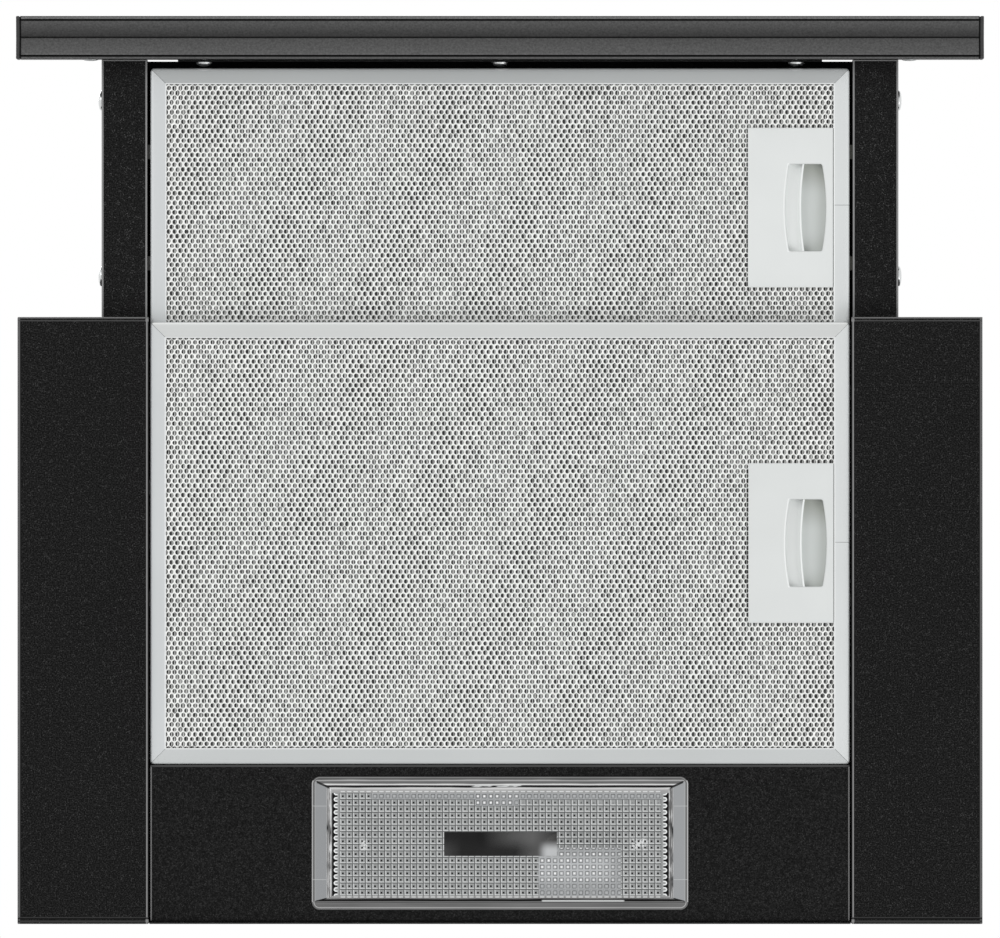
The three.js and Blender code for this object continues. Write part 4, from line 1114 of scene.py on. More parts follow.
@dataclass(frozen=True)
class PrismPlastic:
    """Clear plastic of the lamp cover: a sloped rim with beads round a grid of prisms, its light
    and shade painted.

    The stops of front, rear and end give the painted highlights of the beads and the painted shade
    of the grooves by the distance in from the rim, and those of the window give its two long sides
    from left to right.
    """

    name: str
    middle_y: float
    half_x: float
    half_y: float
    corner: float
    pitch: float
    columns: int
    columns_x: float
    rows: int
    rows_y: float
    window: tuple[float, float, float, float]
    bulb: tuple[float, float, float, float]
    front: Stops = (
        (0, 0x101010), (0.4, 0x404040), (0.8, 0x909090), (1.1, 0x6A6A6A), (1.5, 0x4A4A4A),
        (1.9, 0x7A7A7A), (2.3, 0xBDBDBD), (2.7, 0x707070), (3.8, 0x686868), (4.1, 0xC0C0C0),
        (4.4, 0xEDEDED), (4.8, 0x808080), (5.0, 0x060606), (5.6, 0x060606), (5.8, 0x8A8A8A),
        (6.2, 0xE6E6E6), (6.7, 0xC0C0C0), (7.5, 0xA6A6A6), (9, 0xA0A0A0),
    )
    rear: Stops = (
        (0, 0x303030), (0.2, 0x707070), (0.75, 0x6A6A6A), (1.2, 0xBCBCBC), (1.55, 0x727272),
        (3.0, 0x6E6E6E), (3.4, 0x7C7C7C), (3.8, 0x505050), (4.3, 0x7C7C7C), (4.6, 0x505050),
        (4.7, 0x080808), (5.5, 0x080808), (5.8, 0x707070), (6.4, 0x8E8E8E), (7.4, 0xA0A0A0),
    )
    end: Stops = (
        (0, 0x808080), (0.3, 0xC8C8C8), (0.6, 0x9A9A9A), (0.95, 0x545454), (1.3, 0x6C6C6C),
        (1.7, 0xA6A8A8), (2.2, 0x989A9C), (7.6, 0x989A9C), (7.9, 0xC2C2C2), (8.3, 0x4C4C4C),
        (8.8, 0xA6A6A6), (9.3, 0x343434), (9.7, 0xC6C6C6), (10.1, 0xA0A0A0), (10.3, 0xA0A2A2),
    )
    window_front: Stops = (
        (0, 0x262626), (20, 0x1C1C1C), (31, 0x4E4E4E), (46, 0x6C6C6C), (58, 0x303030),
    )
    window_rear: Stops = ((0, 0x4A4A4A), (9, 0x262626), (37, 0x282828), (48, 0x606060))
    tones: CoverTones = CoverTones()
    tooth_x: float = 84.9
    tooth_radius: float = 1.2
    tooth_reach: float = 2.1
    glint_x: float = 70.2
    glare_front: tuple[float, float] = (-14, 11.5)
    glare_shift: float = 1.7
    mirrored: tuple[float, float] = (-12.5, 9.5)
    partings: tuple[float, float] = (-19.1, 18.9)
    dot_edge: tuple[float, float] = (0.36, 0.64)
    line_edge: tuple[float, float] = (1.3, 1.56)
    see_through: float = 0.22

    def material(self) -> Material:
        """The finish as a material.

        Returns:
            The material.
        """
        sheet = NodeSheet(self.name)
        vector, x, y, _ = sheet.place()
        v = y - self.middle_y
        half_columns, half_rows = self.columns * self.pitch / 2, self.rows * self.pitch / 2
        shift = self.rows_y - self.middle_y
        cell_x = (x - (self.columns_x + self.pitch / 2)).wrapped(self.pitch)
        cell_y = (v - (shift + self.pitch / 2)).wrapped(self.pitch)
        in_rows = (v - shift).near(0, half_rows, 0.1)
        in_grid = (x - self.columns_x).near(0, half_columns, 0.1) * in_rows
        left, right, low, high = self.window
        in_window = x.between(left, right, 0.1) * y.between(low, high, 0.1)
        wander = sheet.noise(vector, 0.07, 2.0)
        prisms, dots = self.prisms(sheet, vector, (x, y), (cell_x, cell_y), wander)
        colour = self.rim(sheet, vector, x, v)
        # painted highlights on the small bumps beside the first and last rows of prisms
        bumps = (v - shift).near(-half_rows - 0.75, 0.3, 0.2).largest(
            (v - shift).near(half_rows + 0.55, 0.3, 0.2)
        )
        bumps = bumps * (1 - abs(cell_x).rise(1.0, 1.3)) * x.near(0, half_columns, 0.5)
        colour = sheet.mixed(bumps * 0.7, colour, self.tones.bump)
        colour = self.teeth(sheet, colour, abs(x - self.columns_x), cell_y, in_rows)
        colour = sheet.mixed(in_grid, colour, prisms)
        colour = sheet.mixed(in_window, colour, self.behind_window(sheet, vector, x, y))
        prism = in_grid * (1 - in_window)
        height = prism * (1 - abs(cell_x).largest(abs(cell_y)).rise(0.9, 1.6) - dots * 0.4)
        return sheet.principled(
            {
                "Base Color": colour,
                "Roughness": 0.3 + (wander - 0.5) * 0.1,
                "Specular IOR Level": 0.08,
                "Coat Weight": 0.03,
                "Alpha": 1 - in_window * self.see_through - prism * (1 - dots) * 0.08,
                "Normal": sheet.bump(height, 0.3, 0.2),
            }
        )

    @staticmethod
    def inside_rounded(to_side: Signal, to_end: Signal, radius: float) -> Signal:
        """Distance inside a rounded rectangle, from the distances inside its straight sides.

        With p and q the radius less each distance, it is the radius, less the length of
        (p, q) with neither below 0, less the larger of p and q where that is below 0.

        Args:
            to_side: distance inside the nearer side.
            to_end: distance inside the nearer end.
            radius: corner radius.

        Returns:
            The distance, negative outside.
        """
        p, q = radius - to_side, radius - to_end
        outside = (p.largest(0) ** 2.0 + q.largest(0) ** 2.0) ** 0.5
        return radius - outside - p.largest(q).smallest(0)

    def rim(self, sheet: NodeSheet, vector: Signal, x: Signal, v: Signal) -> Signal:
        """The sloped rim: painted highlights on beads and painted shade in grooves along each side,
        mitred at the corners.

        Args:
            sheet: the material's nodes.
            vector: the point in millimetres.
            x: its place along the cover.
            v: its place across the cover, from the middle.

        Returns:
            The colour.
        """
        side, front, rear = self.half_x - abs(x), v + self.half_y, self.half_y - v
        rounded = self.inside_rounded(side, front.smallest(rear), self.corner)
        lip = 1 - rounded.rise(1.3, 1.45)
        # painted highlight streaks along the beads
        streak = sheet.noise(sheet.stretched(vector, (0.035, 0.3, 0.0)), 1.0, 2.0) - 0.5
        broken = sheet.noise(sheet.stretched(vector, (0.3, 0.11, 0.0)), 1.0, 2.0) - 0.5
        bead = streak * (1 - lip) * 0.7

        def along(distance: Signal, stops: Stops, shift: Signal) -> Signal:
            """A side's colours, which follow the rounded edge on the lip."""
            return sheet.ramp(distance + (rounded - distance) * lip + shift, stops)

        long_sides = sheet.mixed(
            v.past(0, 1), along(front, self.front, bead), along(rear, self.rear, bead)
        )
        long_sides = sheet.shaded(long_sides, 1 + streak * 0.7)
        inner = side.past(7.8, 0.2) * broken
        # painted light: the right end lighter, and broken painted highlights on the inner bead
        brighter = 1 + x.past(0, 1) * 0.1 + inner * 5.0
        ends = sheet.shaded(along(side, self.end, inner * 1.8), brighter)
        past_front = front - 3.1 - (side - 2.6) * 0.46
        past_rear = rear - 4.5 - (side - 1.8) * 0.27
        is_end = past_front.smallest(past_rear).past(0, 0.05) * (1 - side.past(10.35, 0.05))
        colour = sheet.mixed(is_end, long_sides, ends)
        mitre = past_front.near(-0.1, 0.6, 0.2) * side.between(2.6, 9.2, 0.3)
        mitre = mitre.largest(past_rear.near(0, 0.28, 0.15) * side.between(1.8, 7.7, 0.3))
        colour = sheet.mixed(mitre * 0.92, colour, self.tones.mitre)
        left, right = (at + self.glare_shift for at in self.bulb[:2])
        flare = sheet.noise(sheet.stretched(vector, (0.14, 0.9, 0.0)), 1.0, 2.0)
        glare = front.between(4.2, 5.7, 0.4) * x.between(*self.glare_front, 3)
        glare = glare * flare.rise(0.42, 0.55)
        glare = glare.largest(rear.between(4.35, 5.2, 0.3) * x.between(left, right, 1))
        colour = sheet.mixed(glare * 0.85, colour, self.tones.glare)
        first, second = (v.near(at, 0.13, 0.2) for at in self.partings)
        parting = first.largest(second) * side.between(0.3, 7.6, 0.2) * 0.7
        return sheet.mixed(parting, colour, self.tones.parting)

    def teeth(
        self, sheet: NodeSheet, colour: Signal, away: Signal, cell_y: Signal, in_rows: Signal
    ) -> Signal:
        """The row of half round teeth at each end of the grid, with painted shade in their gaps and
        painted highlights round their rims.

        Args:
            sheet: the material's nodes.
            colour: the colour so far.
            away: distance from the cover's middle along it.
            cell_y: distance from the middle of the row of prisms.
            in_rows: 1 beside the grid.

        Returns:
            The colour.
        """
        side = self.pitch / 2 - abs(cell_y)
        radius = ((away - self.tooth_x).largest(0) ** 2.0 + side**2.0) ** 0.5
        start, end = self.columns * self.pitch / 2, self.tooth_x + self.tooth_reach
        zone = away.between(start, end, 0.15) * in_rows
        gap = radius.past(self.tooth_radius, 0.1) * away.past(self.tooth_x - 0.65, 0.15)
        colour = sheet.mixed(zone, colour, self.tones.tooth)
        colour = sheet.mixed(zone * gap, colour, self.tones.tooth_gap)
        rim = radius.near(self.tooth_radius - 0.35, 0.3, 0.2) * away.past(self.tooth_x - 0.8, 0.2)
        return sheet.mixed(zone * rim, colour, self.tones.tooth_rim)

    def prisms(
        self, sheet: NodeSheet, vector: Signal, place: tuple[Signal, Signal],
        cell: tuple[Signal, Signal], wander: Signal,
    ) -> tuple[Signal, Signal]:
        """The prisms: dark lines between them, painted highlights on two sides and a dark dot of
        painted shade in the middle of each.

        Over the bulb and where it is mirrored the dots are white painted light, and the lines are
        faint.

        Args:
            sheet: the material's nodes.
            vector: the point in millimetres.
            place: its x and y.
            cell: its place from the middle of its prism.
            wander: slow noise.

        Returns:
            The colour, and where the dots are.
        """
        (x, y), (cell_x, cell_y) = place, cell
        left, right, low, high = self.bulb
        reach = abs(cell_x).largest(abs(cell_y))
        patch = sheet.noise(vector, 0.22, 1.0)
        over_bulb = x.between(left, right, 0.8) * y.between(low, high, 0.8)
        past_first = y - (self.rows_y - self.rows * self.pitch / 2)
        first = (1 - past_first.past(self.pitch, 0.1)) * x.rise(-68, -65)
        faded = (1 - past_first.rise(self.pitch, self.pitch * 3.2)) * x.rise(-30, 5)
        mirrored = x.between(*self.mirrored, 0.5) * (1 - past_first.past(2 * self.pitch, 0.1))
        lit = over_bulb.largest(first).largest(mirrored)
        amount = 1 + (wander - 0.5) * 0.35 + (patch - 0.5) * 0.2
        colour = sheet.shaded(self.tones.face, amount)
        shade = y.between(low - 9, low, 2) * x.between(left - 6, right, 5)
        colour = sheet.mixed(shade * 0.35, colour, self.tones.shade)
        # painted highlights on two sides of each prism
        bright = cell_x.near(-1.15, 0.26, 0.25).largest(cell_y.near(1.15, 0.26, 0.25))
        colour = sheet.mixed(bright * 0.8, colour, self.tones.bright_side)
        colour = sheet.mixed(reach.rise(*self.line_edge) * 0.9, colour, self.tones.line)
        middle = y.between(low + 5, high - 8, 6) * (1 - x.rise(right - 10, right))
        colour = sheet.mixed(lit * 0.72, colour, self.tones.lit)
        colour = sheet.mixed(over_bulb * middle * 0.7, colour, self.tones.bulb)
        fine = sheet.noise(vector, 0.8, 1.0)
        glint = (abs(x) - self.glint_x).near(0, 1.6, 1.6)
        glint = glint.largest(x.near(self.glint_x + 2, 4, 1.6))
        glint = glint * (y - self.rows_y).near(0, 2.9, 1.2) * fine.rise(0.4, 0.62)
        colour = sheet.mixed(glint * 0.8, colour, self.tones.glint)
        # painted shade: the dark dot where the lamp's inside shows through each prism's tip
        dot = 1 - reach.rise(*self.dot_edge)
        ring = reach.near(0.95, 0.22, 0.3) * lit
        colour = sheet.mixed(ring * (0.4 + patch * 0.8), colour, self.tones.ring)
        pale = lit.largest(faded * patch.rise(0.35, 0.6))
        black = dot * (1 - pale)
        colour = sheet.mixed(black, colour, self.tones.dot)
        lower = 1 - y.rise(high - 7.2, high - 5.6)
        shine = (0.35 + patch.rise(0.35, 0.6) * 0.65) * (1 - x.rise(right - 12, right) * 0.7)
        white = dot * (over_bulb * lower * shine).largest(mirrored * patch.rise(0.38, 0.5))
        return sheet.mixed(white, colour, self.tones.lit_dot), black

    def behind_window(self, sheet: NodeSheet, vector: Signal, x: Signal, y: Signal) -> Signal:
        """What shows through the smooth window, painted: the dark inside as painted shade, and the
        bulb's end as a painted glow.

        Args:
            sheet: the material's nodes.
            vector: the point in millimetres.
            x: its x.
            y: its y.

        Returns:
            The colour.
        """
        left, right, low, high = self.window
        slow = sheet.noise(vector, 0.08, 2.0)
        ramps = (sheet.ramp(x - left, stops) for stops in (self.window_front, self.window_rear))
        colour = sheet.mixed(y.rise(low + 2, high - 2), *ramps)
        colour = sheet.shaded(colour, 0.75 + slow * 0.5)
        glow = x.rise(right - 10.5, right - 4.5) * y.rise(high - 8.5, high - 2.5)
        return sheet.mixed(glow, colour, self.tones.glow)


@dataclass(frozen=True)
class OpalGlass:
    """Opal lamp glass with a painted glow, and a metal base with a painted thread."""

    name: str
    base_x: float
    glass: Colour = tone(0xF1EFE8)
    glow: Colour = tone(0xF4F2EC)
    glow_strength: float = 0.55
    metal: Colour = tone(0xC8C4B8)
    thread_pitch: float = 2.6

    def material(self) -> Material:
        """The finish as a material.

        Returns:
            The material.
        """
        sheet = NodeSheet(self.name)
        vector, x, *_ = sheet.place()
        slow = sheet.noise(vector, 0.08, 2.0)
        base = x.past(self.base_x, 0.2)
        # painted shade between the thread's ridges, which the base's plain cylinder lacks
        thread = abs(x.wrapped(self.thread_pitch)).rise(0.3, 1.1)
        metal = sheet.shaded(self.metal, 0.6 + thread * 0.5)
        glass = sheet.shaded(self.glass, 0.95 + slow * 0.08)
        return sheet.principled(
            {
                "Base Color": sheet.mixed(base, glass, metal),
                "Metallic": base,
                "Roughness": 0.25 + base * 0.15,
                # painted glow: the glass glows faintly so that its white shows through the cover
                "Emission Color": sheet.mixed(base, self.glow, (0.0, 0.0, 0.0)),
                "Emission Strength": self.glow_strength,
                "Normal": sheet.bump(thread * base, 0.5, 0.6),
            }
        )


# ---------------- Stage


@dataclass(frozen=True)
class SoftLamp:
    """A large soft lamp: its place in metres, its side and its power in watts."""

    name: str
    place: tuple[float, float, float]
    side: float
    power: float


@dataclass
class Stage:
    """Camera straight below the hood, soft lamps round it, a white background and a pale floor."""

    pixel: float = 0.5165
    width: int = 1000
    aim_y: float = -0.5
    distance: float = 20000
    sensor: float = 36
    soft_light: float = 0.62
    floor_z: float = -450
    floor_half: float = 3000
    floor_tone: Colour = tone(0xECECEA)
    soft_lamps: tuple[SoftLamp, ...] = (
        SoftLamp("left_below", (-1.5, -1.2, -1.9), 1.4, 20),
        SoftLamp("right_below", (1.6, 0.9, -1.7), 1.2, 16),
        SoftLamp("above", (-1.0, -1.2, 2.2), 1.6, 34),
    )

    def build(self) -> None:
        """Makes all of it."""
        self.camera()
        self.world()
        self.lamps()
        self.floor()

    def camera(self) -> None:
        """A long lens that sees the photograph's width at the hood's lowest plane."""
        data = bpy.data.cameras.new("camera")
        data.sensor_width = self.sensor
        data.lens = self.sensor * self.distance / (self.pixel * self.width)
        data.clip_start, data.clip_end = 0.1, 100
        camera = bpy.data.objects.new("camera", data)
        camera.location = (0, self.aim_y * MM, -self.distance * MM)
        camera.rotation_euler = (math.pi, 0, 0)
        bpy.context.scene.collection.objects.link(camera)
        bpy.context.scene.camera = camera

    def world(self) -> None:
        """White for what the camera sees and what metal mirrors; softer as a light."""
        world = bpy.data.worlds.new("studio")
        bpy.context.scene.world = world
        world.use_nodes = True
        nodes, links = world.node_tree.nodes, world.node_tree.links
        nodes.clear()
        path = nodes.new("ShaderNodeLightPath")
        seen, mirrored = nodes.new("ShaderNodeMath"), nodes.new("ShaderNodeMath")
        seen.operation = mirrored.operation = "MAXIMUM"
        links.new(path.outputs["Is Camera Ray"], seen.inputs[0])
        links.new(path.outputs["Is Glossy Ray"], mirrored.inputs[0])
        links.new(path.outputs["Is Transmission Ray"], mirrored.inputs[1])
        links.new(mirrored.outputs[0], seen.inputs[1])
        plain, soft = nodes.new("ShaderNodeBackground"), nodes.new("ShaderNodeBackground")
        for light in (plain, soft):
            light.inputs["Color"].default_value = (1, 1, 1, 1)
        soft.inputs["Strength"].default_value = self.soft_light
        choice = nodes.new("ShaderNodeMixShader")
        links.new(seen.outputs[0], choice.inputs[0])
        links.new(soft.outputs[0], choice.inputs[1])
        links.new(plain.outputs[0], choice.inputs[2])
        end = nodes.new("ShaderNodeOutputWorld")
        links.new(choice.outputs[0], end.inputs["Surface"])
        bpy.context.scene.view_settings.view_transform = "Standard"

    def lamps(self) -> None:
        """Large soft lamps below the hood at both sides, and one above for the other views."""
        for soft in self.soft_lamps:
            light = bpy.data.lights.new(soft.name, "AREA")
            light.size = soft.side
            light.energy = soft.power
            lamp = bpy.data.objects.new(soft.name, light)
            lamp.location = soft.place
            lamp.rotation_euler = self.facing(-np.array(soft.place) / np.linalg.norm(soft.place))
            bpy.context.scene.collection.objects.link(lamp)

    @staticmethod
    def facing(aim: Array) -> tuple[float, float, float]:
        """Turns that point a lamp's -Z along a direction.

        Args:
            aim: the direction, of length 1.

        Returns:
            The tilt from straight down, 0, and the heading, in radians.
        """
        tilt = math.acos(-aim[2])
        heading = math.atan2(aim[1], aim[0]) - math.pi / 2
        return (tilt, 0, heading)

    def floor(self) -> None:
        """A pale floor under the hanging hood; it isn't there for what looks up from below."""
        half, z = self.floor_half, self.floor_z
        corners = np.array([[-half, -half, z], [half, -half, z], [half, half, z], [-half, half, z]])
        mesh = mesh_of("floor", Shell(corners.astype(float), (np.array([[0, 1, 2, 3]]),)))
        sheet = NodeSheet("floor_paint")
        vector, *_ = sheet.place()
        slow = sheet.noise(vector, 0.002, 2.0)
        paint = sheet.node(
            "ShaderNodeBsdfPrincipled", None,
            {"Base Color": sheet.shaded(self.floor_tone, 0.97 + slow * 0.05), "Roughness": 0.8},
        )
        clear = sheet.node("ShaderNodeBsdfTransparent")
        below = sheet.node("ShaderNodeNewGeometry", output="Backfacing")
        mixed = sheet.node("ShaderNodeMixShader", None, {0: below, 1: paint, 2: clear})
        mesh.materials.append(sheet.ended(mixed))
        floor = bpy.data.objects.new("floor", mesh)
        floor.visible_shadow = floor.visible_diffuse = floor.visible_glossy = False
        bpy.context.scene.collection.objects.link(floor)


# ---------------- Body


@dataclass
class Body:
    """The fixed sheets: casings, deck, panels, motor box and lamp panel."""

    outer: float = 249.2
    inner: float = 181.5
    front: float = -79.0
    back: float = 234.5
    panel_front: float = 152.4
    panel_half: float = 180.8
    panel_top: float = 4.4
    edge: float = 0.5
    hidden_edge: float = 0.4
    rail_edge: float = 0.3

    def build(self) -> None:
        """Makes all of it."""
        # light and dim are a painted highlight and painted shade along the folds; the near-black
        # fold lines are painted shade in the bends
        light, dim = tone(0x8A8A8A), tone(0x4C4C4C)
        side, deep, top = Across.SIDEWAYS, Across.DEPTH, self.panel_top
        casing = PowderCoat(
            "casing_coat",
            grain=1.3,
            folds=(
                FoldLine(side, self.outer - 0.7, 0.65, tone(0x606060)),
                FoldLine(side, self.outer - 1.6, 0.2, tone(0x101010)),
                FoldLine(side, self.inner + 0.9, 0.36, light),
                FoldLine(side, self.inner + 0.1, 0.3, tone(0x141414)),
                FoldLine(deep, self.front + 0.35, 0.35, tone(0x707070)),
                FoldLine(deep, self.front + 1.9, 0.25, dim),
                FoldLine(deep, self.back - 3.3, 0.2, tone(0x3C3C3C)),
                FoldLine(deep, self.back - 2.7, 0.3, tone(0x0C0C0C)),
                FoldLine(deep, self.back - 1.3, 0.5, tone(0x363636)),
            ),
            notches=((self.inner + 0.8, self.front + 1.6), (self.inner + 0.8, self.back - 1.6)),
        ).material()
        for name in ("left_side_casing", "right_side_casing"):
            add_rounded_copy(name, casing, Place("housing", "black_coat"), self.edge)
        panel = PowderCoat(
            "lamp_panel_coat",
            folds=(
                FoldLine(side, self.panel_half - 0.5, 0.4, light, top),
                FoldLine(deep, self.panel_front + 0.45, 0.5, dim, top),
                FoldLine(deep, self.back - 1.2, 0.5, tone(0x4E4E4E), top),
            ),
        ).material()
        add_rounded_copy("lamp_panel", panel, Place("housing", "black_coat"), self.edge)
        plain = PowderCoat("body_coat").material()
        for name in ("body_deck", "rear_panel", "front_apron", "motor_box", "motor_box_top"):
            add_rounded_copy(name, plain, Place("housing", "black_coat"), self.hidden_edge)
        zinc = BrightMetal("rail_zinc", tone(0xC4C8CA), 0.35, (1.0, 0.03, 1.0)).material()
        for name in ("left_rail", "right_rail"):
            add_rounded_copy(name, zinc, Place("housing", "zinc"), self.rail_edge)


# ---------------- Drawer


@dataclass
class Drawer:
    """The sliding part: front strip, end caps, arms, runners, crossbar and cover sheet."""

    half: float = 247.8
    front: float = -234.5
    back: float = -212.3
    height: float = 48
    lip: float = 1.6
    rear_lip: float = 1.3
    valley: float = 11.1
    rise: float = 5
    step: float = 1.2
    groove: float = 0.28
    groove_deep: float = 1.2
    lip_deep: float = 2.6
    arm_inner: float = 182.3
    arm_outer: float = 205.9
    arm_front: float = -212.0
    arm_bottom: float = 13.5
    edge: float = 0.5
    hidden_edge: float = 0.4
    runner_edge: float = 0.3

    def build(self) -> None:
        """Makes all of it."""
        self.strip()
        cap = MouldedPlastic("cap_plastic", tone(0x444444), 0.5, specular=0.08).material()
        for name in ("left_end_cap", "right_end_cap"):
            add_rounded_copy(name, cap, Place("drawer", "dark_plastic"), self.edge)
        self.arms()
        white = MouldedPlastic("runner_plastic", tone(0xE6E4DE), 0.45).material()
        for name in ("left_runner", "right_runner"):
            add_rounded_copy(name, white, Place("drawer", "white_plastic"), self.runner_edge)

    def strip(self) -> None:
        """The strip's section with its lips, crease and dark grooves, carried across the hood."""
        front, back, step, rise, groove = self.front, self.back, self.step, self.rise, self.groove
        lip, valley, rear = front + self.lip, front + self.valley, back - self.rear_lip
        deep, deepest = self.lip_deep, rise + self.groove_deep
        section = [
            (front, 0), (lip, 0), (lip, deep), (lip + 2 * groove, deep), (lip + 2 * groove, step),
            (valley - groove, rise), (valley - groove, deepest), (valley + groove, deepest),
            (valley + groove, rise), (rear - 2 * groove, step), (rear - 2 * groove, deep),
            (rear, deep), (rear, 0), (back, 0), (back, self.height), (front, self.height),
        ]
        reach = [0.5, 0.3, 0.1, 0.1, 0.3, 0.3, 0.1, 0.1, 0.3, 0.3, 0.1, 0.1, 0.3, 0.5, 0.8, 0.8]
        shell = extruded("x", softened(section, reach), -self.half, self.half)
        coat = StripCoat(
            "strip_coat", front, self.lip, self.valley, self.rear_lip, back - front, self.half
        ).material()
        add_shell("front_strip_form", shell, coat, Place("drawer", "grey_strip", ("front_strip",)))

    def arms(self) -> None:
        """The folded arms with painted highlights along their bends, the crossbar and the cover
        sheet.
        """
        # light is a painted highlight along the arms' bends
        light, top = tone(0x8C8C8C), self.arm_bottom + 1.4
        coat = PowderCoat(
            "arm_coat",
            speck=tone(0x6E6E6E),
            grain=1.15,
            folds=(
                FoldLine(Across.DEPTH, self.arm_front + 0.3, 0.3, light, top),
                FoldLine(Across.SIDEWAYS, self.arm_inner + 0.5, 0.45, light, top),
                FoldLine(Across.SIDEWAYS, self.arm_outer - 0.5, 0.45, light, top),
            ),
        ).material()
        for name in ("left_arm", "right_arm"):
            add_rounded_copy(name, coat, Place("drawer", "black_coat"), self.edge)
        plain = PowderCoat("drawer_coat").material()
        for name in ("crossbar", "drawer_cover"):
            add_rounded_copy(name, plain, Place("drawer", "black_coat"), self.hidden_edge)


# ---------------- Filters


NEAR_HOLE = np.array(
    [(0.82, -0.9), (1.08, 0), (0.82, 0.9), (0, 1.29),
     (-0.82, 0.9), (-1.08, 0), (-0.82, -0.9), (0, -1.29)]
)
NEAR_DIP = np.array([0.1, 0.12, 0.1, 0.2, 0.45, 0.55, 0.45, 0.2])
NEAR_RIM_DIP = np.array([0.0, 0.05, 0.0, 0.12, 0.0, 0.05, 0.0, 0.12])
FAR_HOLE = np.array(
    [(1.14, -0.84), (1.14, 0.84), (0, 1.3), (-1.14, 0.84), (-1.14, -0.84), (0, -1.3)]
)


@dataclass
class Filter:
    """One grease filter: mitred frame, two layers of expanded mesh, latch plate and slider."""

    name: str
    body: str
    latch_body: str
    half_x: float
    half_y: float
    middle_y: float
    bottom: float
    tongue_end: float
    tab_end: float
    tab_lift: float
    seam_y: float
    # front_tone is painted shade of the frame's front bar; shelf_tone is painted lighter against
    # the recess's shade
    front_tone: Colour = tone(0xCED0CF)
    plate_tone: Colour = tone(0xDFE2E1)
    shelf_tone: Colour = tone(0xEBEDEC)
    screw_reflections: tuple[float, ...] = ()
    thickness: float = 9
    sheet: float = 1
    bar: float = 8.2
    roll: float = 1.2
    corner: float = 2.2
    crown: float = 0.12
    tab_thickness: float = 1.5
    pitch_x: float = 3.03
    pitch_y: float = 2.47
    mesh_reach: float = 3.0
    near_z: float = 1.3
    far_z: float = 2.05
    far_hole_z: float = 2.2
    far_shift: float = 0.6
    inner_z: float = 2.8
    latch_width: float = 44
    latch_half: float = 41.25
    latch_rim: float = 1.5
    latch_wall: float = 1.2
    recess_half: float = 22.5
    recess_width: float = 21.2
    recess_margin: float = 3.6
    recess_bow: float = 2.1
    rib_back: float = 13.3
    rib_bow: float = 1.6
    rib_half: float = 0.5
    scoop: float = 1.1
    wall_end: float = 4.7
    tongue_half: float = 3.65
    tongue_places: tuple[float, float] = (-28.8, 28.8)
    slider_z: tuple[float, float] = (5.0, 6.6)
    slider_end: float = 3.2
    slider_span: float = 27.1
    spring_radius: float = 2.0
    spring_wire: float = 0.35
    spring_turns: int = 6
    latch_travel: float = 6.0
    seed: int = 7
    bar_inner: float = field(init=False)
    latch_right: float = field(init=False)
    latch_left: float = field(init=False)
    recess_right: float = field(init=False)
    rib_x: float = field(init=False)

    def __post_init__(self) -> None:
        """Works out the places that follow from the sizes."""
        self.bar_inner = self.half_x - self.bar
        self.latch_right = self.bar_inner - 0.3
        self.latch_left = self.latch_right - self.latch_width
        self.recess_right = self.latch_right - self.recess_margin
        self.rib_x = self.recess_right - self.rib_back

    def build(self) -> None:
        """Makes all of it."""
        self.frame()
        self.mesh_layers()
        self.latch_plate()
        self.slider()
        self.spring()

    def _set(self, shell: Shell) -> Shell:
        """A surface drawn about the filter's middle, moved to its place."""
        return shell.moved(0, self.middle_y, self.bottom)

    def frame(self) -> None:
        """The frame: a rolled channel section carried round a rectangle with rounded corners.

        The section is a list of (inset, height) points. A point with inset u runs round a
        rectangle whose half sizes are the frame's less u, and whose corner radius is the
        frame's less u. The underside is crowned by crown * ((u - bar / 2) / (bar / 2))^2.
        """
        top, sheet, roll, bar = self.thickness, self.sheet, self.roll, self.bar
        flat = np.linspace(roll, bar - 0.4, 9)
        crown = self.crown * ((flat - bar / 2) / (bar / 2)) ** 2
        inner = top - sheet
        section = np.concatenate(
            [
                [(0, top - roll)],
                [(0, 3.0)],
                arc((roll, roll + 0.08), roll, 180, 258, 6),
                np.stack([flat, crown], -1)[1:],
                [(bar, 0.45), (bar, sheet), (sheet, sheet), (sheet, inner), (bar, inner)],
                [(bar, top - 0.4), (bar - 0.4, top)],
                arc((roll, top - roll), roll, 90, 180, 5)[:-1],
            ]
        )
        inset, height = section[:, 0], section[:, 1]
        turn = np.radians(np.linspace(0, 90, 7))
        quarter = np.arange(4)
        angle = (quarter[:, None] * (np.pi / 2) + turn[None]).ravel()
        sx = np.repeat([1, -1, -1, 1], len(turn))
        sy = np.repeat([1, 1, -1, -1], len(turn))
        radius = np.maximum(self.corner - inset, 0.03)[:, None]
        x = sx * (self.half_x - inset[:, None] - radius) + radius * np.cos(angle)
        y = sy * (self.half_y - inset[:, None] - radius) + radius * np.sin(angle)
        z = np.broadcast_to(height[:, None], x.shape)
        ring = grid(np.stack([x, y, z], -1), wrap_rows=True, wrap_columns=True)
        tabs = [
            block(
                (-self.tab_end, 0.5 - self.half_x),
                (at - self.tongue_half, at + self.tongue_half),
                (self.tab_lift, self.tab_lift + self.tab_thickness),
                0.3,
            )
            for at in self.tongue_places
        ]
        metal = RolledBar(
            f"{self.name}_bar_metal", self.half_x, self.half_y, self.middle_y, self.bottom,
            self.bar, self.seam_y, front=self.front_tone, screw_reflections=self.screw_reflections,
        ).material()
        place = Place(self.body, "aluminium", (f"{self.name}_frame",))
        add_shell(f"{self.name}_frame_form", self._set(joined([ring, *tabs])), metal, place, 40)

